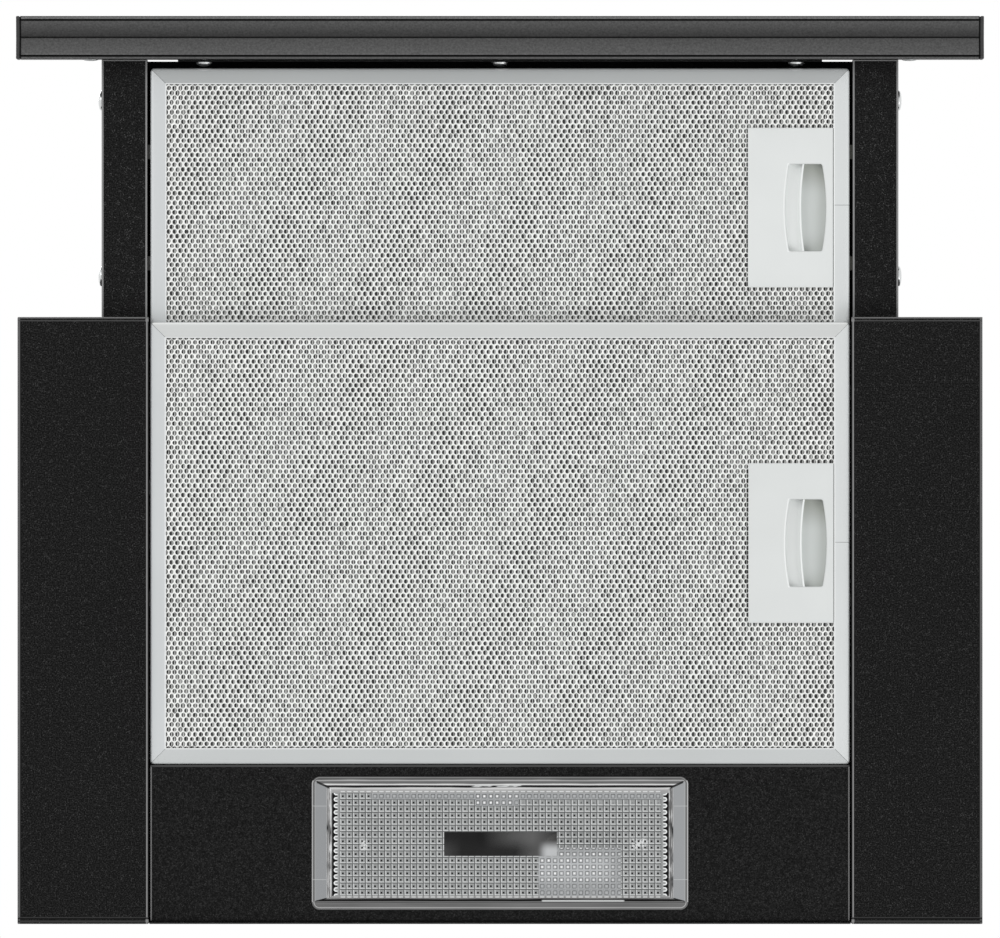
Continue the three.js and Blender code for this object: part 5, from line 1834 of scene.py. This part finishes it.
    def _lattice(self, reach: float, shift: float) -> tuple[Array, Array]:
        """Middles of the mesh's openings, every other row moved by half a pitch.

        Args:
            reach: how far past the bars' inner edges the mesh runs.
            shift: how far the whole lattice is moved along x.

        Returns:
            x and y of the openings that are inside the frame and outside the latch.
        """
        half_x, half_y = self.bar_inner + reach, self.half_y - self.bar + reach
        rows = np.arange(-int(half_y / self.pitch_y), int(half_y / self.pitch_y) + 1)
        columns = np.arange(-int(half_x / self.pitch_x) - 1, int(half_x / self.pitch_x) + 2)
        row, column = np.meshgrid(rows, columns, indexing="ij")
        x = (column + 0.5 * (row % 2)) * self.pitch_x + shift
        y = row * self.pitch_y
        inside = (abs(x) < half_x) & (abs(y) < half_y)
        latch_left = self.latch_left + self.latch_rim - 1.2
        latch_half = self.latch_half - self.latch_rim + 1.2
        latch = (x > latch_left) & (x < self.latch_right + 1) & (abs(y) < latch_half)
        return x[inside & ~latch], y[inside & ~latch]

    def _openings(
        self, x: Array, y: Array, rim: Array, hole: Array, heights: tuple[Array, Array]
    ) -> Shell:
        """Rings of faces, each between a hole and the hexagon that it shares with its neighbours.

        Args:
            x: middles of the openings.
            y: middles of the openings.
            rim: (n, 2) corners of the hexagon about its middle.
            hole: (cells, n, 2) corners of each hole about its middle.
            heights: heights of the hexagon's corners and of each hole's corners.

        Returns:
            The surface.
        """
        cells, corners = hole.shape[:2]
        middle = np.stack([x, y], -1)[:, None]
        outside = np.concatenate(
            [middle + rim, np.broadcast_to(heights[0][None, :, None], (cells, corners, 1))], -1
        )
        inside = np.concatenate([middle + hole, heights[1][..., None]], -1)
        rings = np.stack([outside, inside], 1)
        k = np.arange(corners)
        one = np.stack([k, (k + 1) % corners, (k + 1) % corners + corners, k + corners], -1)
        faces = one[None] + (np.arange(cells) * 2 * corners)[:, None, None]
        return Shell(rings.reshape(-1, 3), (faces.reshape(-1, 4),))

    def mesh_layers(self) -> None:
        """Two layers of expanded mesh over a near-black sheet of painted shade.

        Each opening is a rounded hole in a hexagon that tiles the plane: corners at half a
        pitch sideways and a third of a row up or down, and two thirds of a row up and down.
        The near layer's holes are eight-sided and dip at their left; the far layer's are
        six-sided, moved along, and wander from hole to hole.
        """
        chance = np.random.default_rng(self.seed)
        px, py = self.pitch_x, self.pitch_y
        rim = np.array(
            [(px / 2, -py / 3), (px / 2, 0), (px / 2, py / 3), (0, py * 2 / 3),
             (-px / 2, py / 3), (-px / 2, 0), (-px / 2, -py / 3), (0, -py * 2 / 3)]
        )
        x, y = self._lattice(self.mesh_reach, 0.0)
        size = 1 + chance.normal(0, 0.05, (len(x), 1, 2))
        drift = chance.normal(0, 0.06, (len(x), 1, 2))
        near_hole = NEAR_HOLE[None] * size + drift
        near_height = self.near_z + NEAR_DIP[None] + chance.normal(0, 0.03, (len(x), 8))
        rim_height = self.near_z + NEAR_RIM_DIP
        near = self._openings(x, y, rim, near_hole, (rim_height, near_height))
        # the near layer's near-white and the far layer's grey are painted light and shade of one
        # aluminium
        strands = StrandMetal(f"{self.name}_near_strands", tone(0xF7F8F6), 0.14)
        self._layer("near", near, strands, (f"{self.name}_mesh",))

        far_rim = rim[[0, 2, 3, 4, 6, 7]]
        x, y = self._lattice(self.mesh_reach, self.far_shift * px)
        sway = 0.16 * np.sin(x / 9.7 + y / 23.0) + 0.06 * np.sin(x / 4.1 - y / 6.3)
        size = 1 + chance.normal(0, 0.06, (len(x), 1, 2))
        drift = chance.normal(0, 0.09, (len(x), 1, 2))
        drift[..., 0] += sway[:, None]
        far_hole = np.clip(FAR_HOLE[None] * size + drift, -1.44, 1.44)
        far_height = self.far_hole_z + chance.normal(0, 0.05, (len(x), 6))
        far = self._openings(x, y, far_rim, far_hole, (np.full(6, self.far_z), far_height))
        # painted shade: the far layer is darker because it lies in shade behind the near one
        self._layer("far", far, StrandMetal(f"{self.name}_far_strands", tone(0xB8B9B7), 0.5))
        self.backing()

    def _layer(
        self, which: str, shell: Shell, metal: StrandMetal, replaces: tuple[str, ...] = ()
    ) -> None:
        """Adds one mesh layer.

        Args:
            which: near or far.
            shell: its surface.
            metal: its finish.
            replaces: the CAD node that it stands for.
        """
        name = f"{self.name}_{which}_mesh"
        mesh = mesh_of(name, self._set(shell))
        mesh.shade_smooth()
        add_piece(name, mesh, metal.material(), Place(self.body, "aluminium", replaces))

    def backing(self) -> None:
        """A near-black sheet of painted shade for the pack's inner layers, with a hole for the
        latch.
        """
        hx, hy = self.bar_inner + 4, self.half_y - self.bar + 4
        left, right, half = self.latch_left + 1, self.latch_right - 1, self.latch_half - 1
        xs = np.array([-hx, left, right, hx])
        ys = np.array([-hy, -half, half, hy])
        across, depth = np.meshgrid(xs, ys, indexing="ij")
        sheet = grid(np.stack([across, depth, np.full_like(across, self.inner_z)], -1))
        middle = len(sheet.faces[0]) // 2
        shell = Shell(sheet.vertices, (np.delete(sheet.faces[0], middle, 0),))
        # painted shade: the inner layers lie in shade, so the sheet is near black
        dark = StrandMetal(f"{self.name}_inner_layers_shade", tone(0x0C0C0C), 1.2, 0.0).material()
        mesh = mesh_of(f"{self.name}_inner_layers_shade", self._set(shell))
        add_piece(f"{self.name}_inner_layers_shade", mesh, dark, Place(self.body, "aluminium"))

    def _recess(self, grow: float) -> Array:
        """Outline of the finger recess about the filter's middle, grown by a margin."""
        left, right = self.recess_right - self.recess_width - grow, self.recess_right + grow
        return bowed_outline(left, right, self.recess_half + grow, self.recess_bow, 1.2 + grow)

    def _plate(self, inset: float) -> Array:
        """Outline of the latch plate, drawn in by an inset."""
        right, half = self.latch_right - inset, self.latch_half - inset
        return bowed_outline(self.latch_left + inset, right, half, 0, 0.5)

    def latch_plate(self) -> None:
        """The latch plate: outlines lofted from its walls, over its face, down into the recess.

        Each row is the plate's outline with an inset or the recess's grown by a margin, at a
        height; between the two the face runs straight from one to the other.
        """
        wall_top = self.thickness - self.sheet - 0.3
        rim, wall = self.latch_rim, self.latch_wall
        rows = [
            (self._plate(rim), wall_top), (self._plate(rim), 1.0), (self._plate(0), 1.0),
            (self._plate(0), 0.3), (self._plate(0.1), 0.08), (self._plate(0.35), 0.0),
            (self._recess(0.9), 0.0), (self._recess(0.5), 0.06), (self._recess(0.18), 0.25),
            (self._recess(0.04), 0.55), (self._recess(0), 0.9), (self._recess(0), self.wall_end),
            (self._recess(wall), self.wall_end), (self._recess(wall), 1.0),
            (self._plate(rim + wall), 1.0), (self._plate(rim + wall), wall_top),
        ]
        points = np.stack(
            [np.concatenate([flat, np.full((len(flat), 1), z)], 1) for flat, z in rows]
        )
        shell = grid(points, wrap_rows=True, wrap_columns=True)
        plastic = LatchPlastic(
            f"{self.name}_latch_plastic", self.recess_right - self.recess_width, self.recess_bow,
            self.middle_y, self.recess_half, self.half_x, self.plate_tone, self.shelf_tone,
        ).material()
        place = Place(self.body, "pale_plastic", (f"{self.name}_latch_plate",))
        add_shell(f"{self.name}_latch_plate_form", self._set(shell), plastic, place)

    def slider(self) -> None:
        """The slider: a floor above the recess with a scoop right of a bowed rib, and tongues.

        The scoop's height above the floor is its depth times the sine of the way across it,
        and it fades towards both ends with 1 - (y / half)^6. The rib's middle is at
        rib + bow * (y / half)^2. The half is half the recess's length.
        """
        low, high = self.slider_z
        right = self.latch_right - self.slider_end
        left = right - self.slider_span
        half = self.latch_half - self.latch_rim - self.latch_wall - 0.5
        x = np.concatenate([[left], np.linspace(left, right, 40), [right]])
        y = np.concatenate([[-half], np.linspace(-half, half, 60), [half]])
        across, depth = np.meshgrid(x, y, indexing="ij")
        way = np.clip((across - self.rib_x) / (self.recess_right - self.rib_x), 0, 1)
        fade = np.clip(1 - (depth / self.recess_half) ** 6, 0, 1)
        under = low + self.scoop * np.sin(np.pi * way) * fade
        skin = np.stack([across, depth, under], -1)
        skin[[0, -1], :, 2] = high
        skin[:, [0, -1], 2] = high
        lid_x, lid_y = np.array([left, right, right, left]), np.array([-half, -half, half, half])
        lid = Shell(np.stack([lid_x, lid_y, np.full(4, high)], -1), (np.arange(4)[None],))
        tongues = [
            block(
                (right - 1, self.tongue_end), (at - self.tongue_half, at + self.tongue_half),
                self.slider_z,
            )
            for at in self.tongue_places
        ]
        plastic = LatchPlastic(
            f"{self.name}_slider_plastic", self.rib_x, self.rib_bow, self.middle_y,
            self.recess_half, self.half_x, self.plate_tone, self.shelf_tone, floor=True,
        ).material()
        place = Place(self.latch_body, "pale_plastic", (f"{self.name}_latch_slider",))
        shell = self._set(joined([grid(skin), lid, self._rib(), *tongues]))
        add_shell(f"{self.name}_slider_form", shell, plastic, place)

    def _rib(self) -> Shell:
        """The slider's bowed rib, a rounded bar from its underside down towards the plate's face.

        Returns:
            The closed surface.
        """
        half, foot, steps = self.rib_half, self.slider_z[0] + 0.3, 40
        y = np.linspace(-self.recess_half, self.recess_half, steps + 1)[:, None]
        bow = self.rib_x + self.rib_bow * (y / self.recess_half) ** 2
        section = softened([(-half, foot), (-half, 0.5), (half, 0.5), (half, foot)], 0.45)
        points = np.broadcast_arrays(bow + section[:, 0], y, section[:, 1])
        side = grid(np.stack(points, -1), wrap_columns=True)
        ends = np.arange(len(section))
        last = ends[None, ::-1] + steps * len(section)
        return Shell(side.vertices, (*side.faces, ends[None], last))

    def spring(self) -> None:
        """The latch's return spring, a helix of round wire.

        The wire's middle is at (start + length * t, radius * cos a, radius * sin a), where a is
        a full circle times the turns times t, and its section is a circle across its direction.
        """
        node = f"{self.name}_latch_spring"
        low, high = (np.array(corner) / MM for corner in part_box(node))
        length = high[0] - low[0] - 2 * self.spring_wire
        steps, sides = self.spring_turns * 24, 10
        t = np.linspace(0, 1, steps + 1)
        angle = 2 * np.pi * self.spring_turns * t
        out = np.stack([np.zeros(steps + 1), np.cos(angle), np.sin(angle)], -1)
        rise = length / (2 * np.pi * self.spring_turns * self.spring_radius)
        ahead = np.stack([np.full(steps + 1, rise), -np.sin(angle), np.cos(angle)], -1)
        ahead /= np.linalg.norm(ahead, axis=1, keepdims=True)
        middle = out * self.spring_radius
        middle[:, 0] = low[0] + self.spring_wire + length * t
        turn = np.linspace(0, 2 * np.pi, sides, endpoint=False)[None, :, None]
        section = np.cos(turn) * out[:, None] + np.sin(turn) * np.cross(ahead, out)[:, None]
        wire = grid(middle[:, None] + self.spring_wire * section, wrap_columns=True)
        cap = np.arange(sides)
        wire = Shell(wire.vertices, (*wire.faces, cap[None, ::-1], cap[None] + steps * sides))
        centre = (low + high) / 2
        steel = BrightMetal(f"{self.name}_spring_steel", tone(0x9A9DA0), 0.25).material()
        place = Place(self.body, "spring_steel", (node,))
        piece = add_shell(f"{node}_form", wire.moved(0, centre[1], centre[2]), steel, place, 60)
        keep = 1 - self.latch_travel / (high[0] - low[0])
        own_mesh(piece)


# ---------------- Lamp


@dataclass
class Lamp:
    """The lamp: clear cover with its prisms, bulb, holder and reflector."""

    half_x: float = 97.25
    half_y: float = 34.6
    middle_y: float = 192.7
    rim_z: float = 2.9
    face_z: float = 0.3
    slope_x: float = 9.6
    slope_y: float = 6.2
    slope: tuple[tuple[float, float], ...] = (
        (0.1, 0.0), (0.14, 0.12), (0.78, 0.0), (0.82, 0.18), (0.87, -0.12), (0.93, -0.12),
        (0.98, 0.25),
    )
    snap: float = 3.9
    wall: float = 1.5
    snap_top: float = 9.9
    corner: float = 4.2
    pitch: float = 3.322
    columns: int = 50
    columns_x: float = 0.22
    rows: int = 16
    rows_y: float = 193.43
    window: tuple[float, float, float, float] = (-28.9, 29.4, 187.0, 199.4)
    bulb_patch: tuple[float, float, float, float] = (20.0, 62.4, 195.1, 220.2)
    bulb_tip: float = 20.95
    bulb_base: float = 65.95
    bulb_radius: float = 15.5
    bulb_z: float = 22.7
    bulb_y: float = 202.7
    neck_radius: float = 8.2
    base_radius: float = 6.6
    base_length: float = 14

    def build(self) -> None:
        """Makes all of it."""
        self.cover()
        self.bulb()
        # the reflector's aluminium is darker grey: painted shade of the lamp's inside
        inside = BrightMetal("reflector_metal", tone(0x8E9090), 0.45, (1, 1, 1), 0.05).material()
        add_rounded_copy("lamp_reflector", inside, Place("housing", "aluminium"), 0.3)
        ceramic = MouldedPlastic("holder_ceramic", tone(0xE6E4DE), 0.35).material()
        add_rounded_copy("lamp_holder", ceramic, Place("housing", "white_plastic"), 0.4)

    def _outline(self, inset_x: float, inset_y: float) -> Array:
        """A rounded rectangle drawn in from the cover's rim, its corners tighter as it shrinks.

        Args:
            inset_x: how far its ends are drawn in.
            inset_y: how far its long sides are drawn in.

        Returns:
            (n, 2) points.
        """
        radius = max(self.corner - max(inset_x, inset_y) * 0.45, 0.6)
        right, half = self.half_x - inset_x, self.half_y - inset_y
        return bowed_outline(-right, right, half, 0, radius, 12, 7)

    def cover(self) -> None:
        """The cover: outlines lofted from its snap walls over its sloped rim, and a prism grid.

        Across the slope the height falls evenly from the rim to the face, with a lip at the
        outside and a bead at the inside: pairs of the way across and what is added there.
        """
        rows = [
            (self.snap, self.snap, self.snap_top), (self.snap, self.snap, self.rim_z),
            (0, 0, self.rim_z), (0, 0, self.rim_z - 0.3), (0.25, 0.25, self.rim_z - 0.55),
        ]
        for part, extra in self.slope:
            z = self.rim_z - 0.4 + (self.face_z - self.rim_z + 0.4) * part + extra
            rows.append((self.slope_x * part, self.slope_y * part, max(z, self.face_z)))
        rows += [
            (self.slope_x, self.slope_y, self.face_z + 0.3),
            (self.slope_x, self.slope_y, self.face_z + self.wall),
            (self.snap + self.wall, self.snap + self.wall, self.rim_z + 0.4),
            (self.snap + self.wall, self.snap + self.wall, self.snap_top),
        ]
        points = np.stack(
            [
                np.concatenate([flat, np.full((len(flat), 1), z)], 1)
                for flat, z in ((self._outline(ix, iy), z) for ix, iy, z in rows)
            ]
        )
        rim = grid(points, wrap_rows=True, wrap_columns=True)
        plastic = PrismPlastic(
            "cover_plastic", self.middle_y, self.half_x, self.half_y, self.corner, self.pitch,
            self.columns, self.columns_x, self.rows, self.rows_y, self.window, self.bulb_patch,
        ).material()
        shell = joined([rim, self._face()]).moved(0, self.middle_y, 0)
        place = Place("lamp_cover", "clear_plastic", ("lamp_cover",))
        add_shell("lamp_cover_form", shell, plastic, place)

    def _face(self) -> Shell:
        """The face with its grid of prisms and the smooth window.

        In the grid the height is the face's plus a groove that grows as the fourth power of the
        distance from the prism's middle, and a small peak in the middle.

        Returns:
            A sheet as thick as the wall, its underside shaped.
        """
        face_x, face_y = self.half_x - self.slope_x, self.half_y - self.slope_y
        part = np.array([0, 0.07, 0.2, 0.4, 0.6, 0.8, 0.93])

        def ruled(count: int, half: float, shift: float) -> Array:
            """Places of the grid's lines along one side, with the margins at both ends.

            Args:
                count: prisms along it.
                half: half the face's length.
                shift: place of the grid's middle.

            Returns:
                The places in order.
            """
            inner = count * self.pitch / 2
            lines = ((np.arange(count)[:, None] + part) * self.pitch - inner + shift).ravel()
            return np.concatenate([[-half], lines, [inner + shift, half]])

        shift = self.rows_y - self.middle_y
        x, y = ruled(self.columns, face_x, self.columns_x), ruled(self.rows, face_y, shift)
        across, depth = np.meshgrid(x, y, indexing="ij")
        inner_x, inner_y = self.columns * self.pitch / 2, self.rows * self.pitch / 2
        u = 2 * np.abs(((across - self.columns_x + inner_x) / self.pitch) % 1 - 0.5)
        v = 2 * np.abs(((depth - shift + inner_y) / self.pitch) % 1 - 0.5)
        groove = 0.45 * np.maximum(u, v) ** 4 + 0.12 * np.exp(-((u**2 + v**2) / 0.03))
        inside = abs(across - self.columns_x) <= inner_x + 0.01
        inside &= abs(depth - shift) <= inner_y + 0.01
        left, right, low, high = self.window
        clear = (across > left) & (across < right)
        clear &= (depth > low - self.middle_y) & (depth < high - self.middle_y)
        height = self.face_z + np.where(inside & ~clear, groove, 0.15)
        under = np.stack([across, depth, height], -1)
        over = np.stack([across, depth, np.full_like(height, self.face_z + self.wall)], -1)
        top = grid(over[::-1][[0, -1]][:, [0, -1]])
        return joined([grid(under), top])

    def bulb(self) -> None:
        """The bulb: a smooth pear turned about its axis, with a threaded base.

        Along the pear, t from 0 to 1, the radius is the largest times
        sin(pi * (t / 0.9)^0.62)^0.55, and at the neck it is never under the neck's.
        """
        start, end = self.bulb_base, self.bulb_base + self.base_length
        t = np.linspace(0, 1, 30)
        swell = np.sin(np.pi * np.minimum(t / 0.9, 1) ** 0.62) ** 0.55
        radius = np.maximum(self.bulb_radius * swell, np.where(t > 0.6, self.neck_radius, 0))
        radius[0] = 0
        glass = np.stack([radius, self.bulb_tip + t * (start - self.bulb_tip)], -1)
        base = np.array([(self.base_radius, start), (self.base_radius, end), (0, end)])
        shell = turned("x", np.concatenate([glass, base]), 40).moved(0, self.bulb_y, self.bulb_z)
        opal = OpalGlass("bulb_glass", self.bulb_base).material()
        place = Place("housing", "lamp_glass", ("lamp_bulb",))
        add_shell("lamp_bulb_form", shell, opal, place, ROUND_ANGLE)


# ---------------- Fasteners


@dataclass
class Fasteners:
    """Domed rivets and screws of the drawer."""

    rivet_radius: float = 5.2
    rivet_proud: float = 1.7
    rivet_shank: float = 2.2
    rivet_length: float = 4.7
    rivet_x: float = 206.05
    rivet_y: tuple[float, float] = (-191.1, -100.2)
    rivet_z: float = 30
    screw_radius: float = 4.3
    screw_shank: float = 1.6
    screw_length: float = 8
    screw_y: float = -210.85
    screw_proud: float = 2.4
    screw_z: float = 20.5
    screw_x: float = 153
    strip_screw_radius: float = 3.85
    strip_screw_proud: float = 0.8
    strip_screw_x: float = 211.5
    strip_screw_y: float = -212.15
    strip_screw_z: float = 12

    @staticmethod
    def head(radius: float, proud: float, shank: float, length: float) -> Array:
        """Profile of a domed head on a shank: an ellipse quarter over a short rim.

        Args:
            radius: of the head.
            proud: how far it stands out.
            shank: radius of the shank.
            length: of the shank.

        Returns:
            (n, 2) radii and heights from the shank's end to the head's top.
        """
        turn = np.radians(np.linspace(0, 90, 12))
        rim = proud * 0.18
        dome = np.stack([radius * np.cos(turn), rim + (proud - rim) * np.sin(turn)], -1)
        dome[-1, 0] = 0
        return np.concatenate([[(0, -length), (shank, -length), (shank, 0), (radius, 0)], dome])

    def build(self) -> None:
        """Makes all of it."""
        zinc = BrightMetal("fastener_zinc", tone(0xD2D4D4), 0.22, (1, 1, 1), 0.06).material()
        size = self.rivet_radius, self.rivet_proud, self.rivet_shank, self.rivet_length
        rivet = turned("x", self.head(*size))
        for end, y in zip(("front", "rear"), self.rivet_y):
            right = rivet.moved(self.rivet_x, y, self.rivet_z)
            for side, shell in (("right", right), ("left", right.mirrored())):
                name = f"{side}_{end}_rivet"
                self._add(name, shell, zinc)
        shank, length = self.screw_shank, self.screw_length
        domed = turned("y", self.head(self.screw_radius, self.screw_proud, shank, length))
        satin = BrightMetal("screw_zinc", tone(0xE2E4E4), 0.4, (1, 1, 1), 0.06).material()
        for side, x in (("left", -self.screw_x), ("middle", 0), ("right", self.screw_x)):
            name = f"crossbar_screw_{side}"
            self._add(name, domed.moved(x, self.screw_y, self.screw_z), satin)
        low = self.head(self.strip_screw_radius, self.strip_screw_proud, shank, length)
        flat = turned("y", low)
        dull = BrightMetal("strip_screw_zinc", tone(0xA4A6A6), 0.5, (1, 1, 1), 0.1).material()
        for side, x in (("left", -self.strip_screw_x), ("right", self.strip_screw_x)):
            name = f"strip_screw_{side}"
            self._add(name, flat.moved(x, self.strip_screw_y, self.strip_screw_z), dull)

    @staticmethod
    def _add(node: str, shell: Shell, metal: Material) -> None:
        """Adds a fastener that stands for a CAD node of the drawer."""
        add_shell(f"{node}_form", shell, metal, Place("drawer", "zinc", (node,)), ROUND_ANGLE)


# ---------------- Blower and duct


@dataclass
class Blower:
    """What the motor box holds: scroll, wheel, motor, capacitor, and the box of the mains lead."""

    def build(self) -> None:
        """Makes all of it."""
        black = MouldedPlastic("scroll_plastic", tone(0x2C2D2F), 0.5).material()
        for name in ("scroll_floor", "scroll_wall", "scroll_cover"):
            add_rounded_copy(name, black, Place("housing", "dark_plastic"), 0.3)
        for name in ("fan_disc", "fan_blades"):
            add_rounded_copy(name, black, Place("fan", "dark_plastic"), 0)
        steel = BrightMetal("shaft_steel", tone(0xA2A5A8), 0.25).material()
        zinc = BrightMetal("motor_zinc", tone(0xC2C5C6), 0.35).material()
        add_rounded_copy("motor_shaft", steel, Place("fan", "spring_steel"), 0.3)
        add_rounded_copy("shaft_nut", zinc, Place("fan", "zinc"), 0.3)
        add_rounded_copy("motor_housing", zinc, Place("housing", "zinc"), 0.5)
        white = MouldedPlastic("capacitor_plastic", tone(0xE4E2DC), 0.4).material()
        add_rounded_copy("capacitor", white, Place("housing", "white_plastic"), 0.8)
        box = MouldedPlastic("terminal_plastic", tone(0x28292B), 0.45).material()
        for name, edge in (("terminal_box", 1.2), ("cable_gland", 0.4)):
            add_rounded_copy(name, box, Place("housing", "dark_plastic"), edge)


@dataclass
class Duct:
    """The collar and its two non-return flaps."""

    def build(self) -> None:
        """Makes all of it."""
        coat = PowderCoat("collar_coat").material()
        add_rounded_copy("duct_collar", coat, Place("housing", "black_coat"), 0.4)
        steel = BrightMetal("pin_steel", tone(0xA2A5A8), 0.25).material()
        add_rounded_copy("flap_pin", steel, Place("housing", "spring_steel"), 0.2)
        zinc = BrightMetal("flap_zinc", tone(0xC6C9CB), 0.38).material()
        for name in ("front_flap", "rear_flap"):
            add_rounded_copy(name, zinc, Place(name, "zinc"), 0.25)


# ---------------- Switches


@dataclass
class Switches:
    """The switch plate and its two knobs."""

    def build(self) -> None:
        """Makes all of it."""
        plate = MouldedPlastic("switch_plate_plastic", tone(0x2B2C2E), 0.45).material()
        add_rounded_copy("switch_plate", plate, Place("housing", "dark_plastic"), 0.5)
        knob = MouldedPlastic("knob_plastic", tone(0x8C8F92), 0.4).material()
        add_rounded_copy("speed_switch_knob", knob, Place("speed_switch", "switch_grey"), 0.6)
        add_rounded_copy("lamp_switch_knob", knob, Place("lamp_switch", "switch_grey"), 0.6)


# ---------------- The whole hood


def main() -> None:
    logging.basicConfig(level=logging.INFO, format="%(message)s")
    Stage().build()
    Body().build()
    Drawer().build()
    Filter(
        name="front_filter", body="drawer", latch_body="front_latch",
        half_x=180.6, half_y=72.0, middle_y=-135.6, bottom=12.2,
        tongue_end=184.5, tab_end=184.5, tab_lift=5.0, seam_y=-1.3,
        # the front bar's darker tone is painted shade
        front_tone=tone(0xB1B4B4), plate_tone=tone(0xE4E7E6), shelf_tone=tone(0xF2F4F3),
        screw_reflections=(-153.0, 0.8, 153.2), seed=11,
    ).build()
    Filter(
        name="rear_filter", body="rear_filter", latch_body="rear_latch",
        half_x=180.8, half_y=114.15, middle_y=37.75, bottom=2.2,
        tongue_end=181.2, tab_end=184.0, tab_lift=7.1, seam_y=-0.4, seed=23,
    ).build()
    Lamp().build()
    Fasteners().build()
    Blower().build()
    Duct().build()
    Switches().build()


if __name__ == "__main__":
    main()
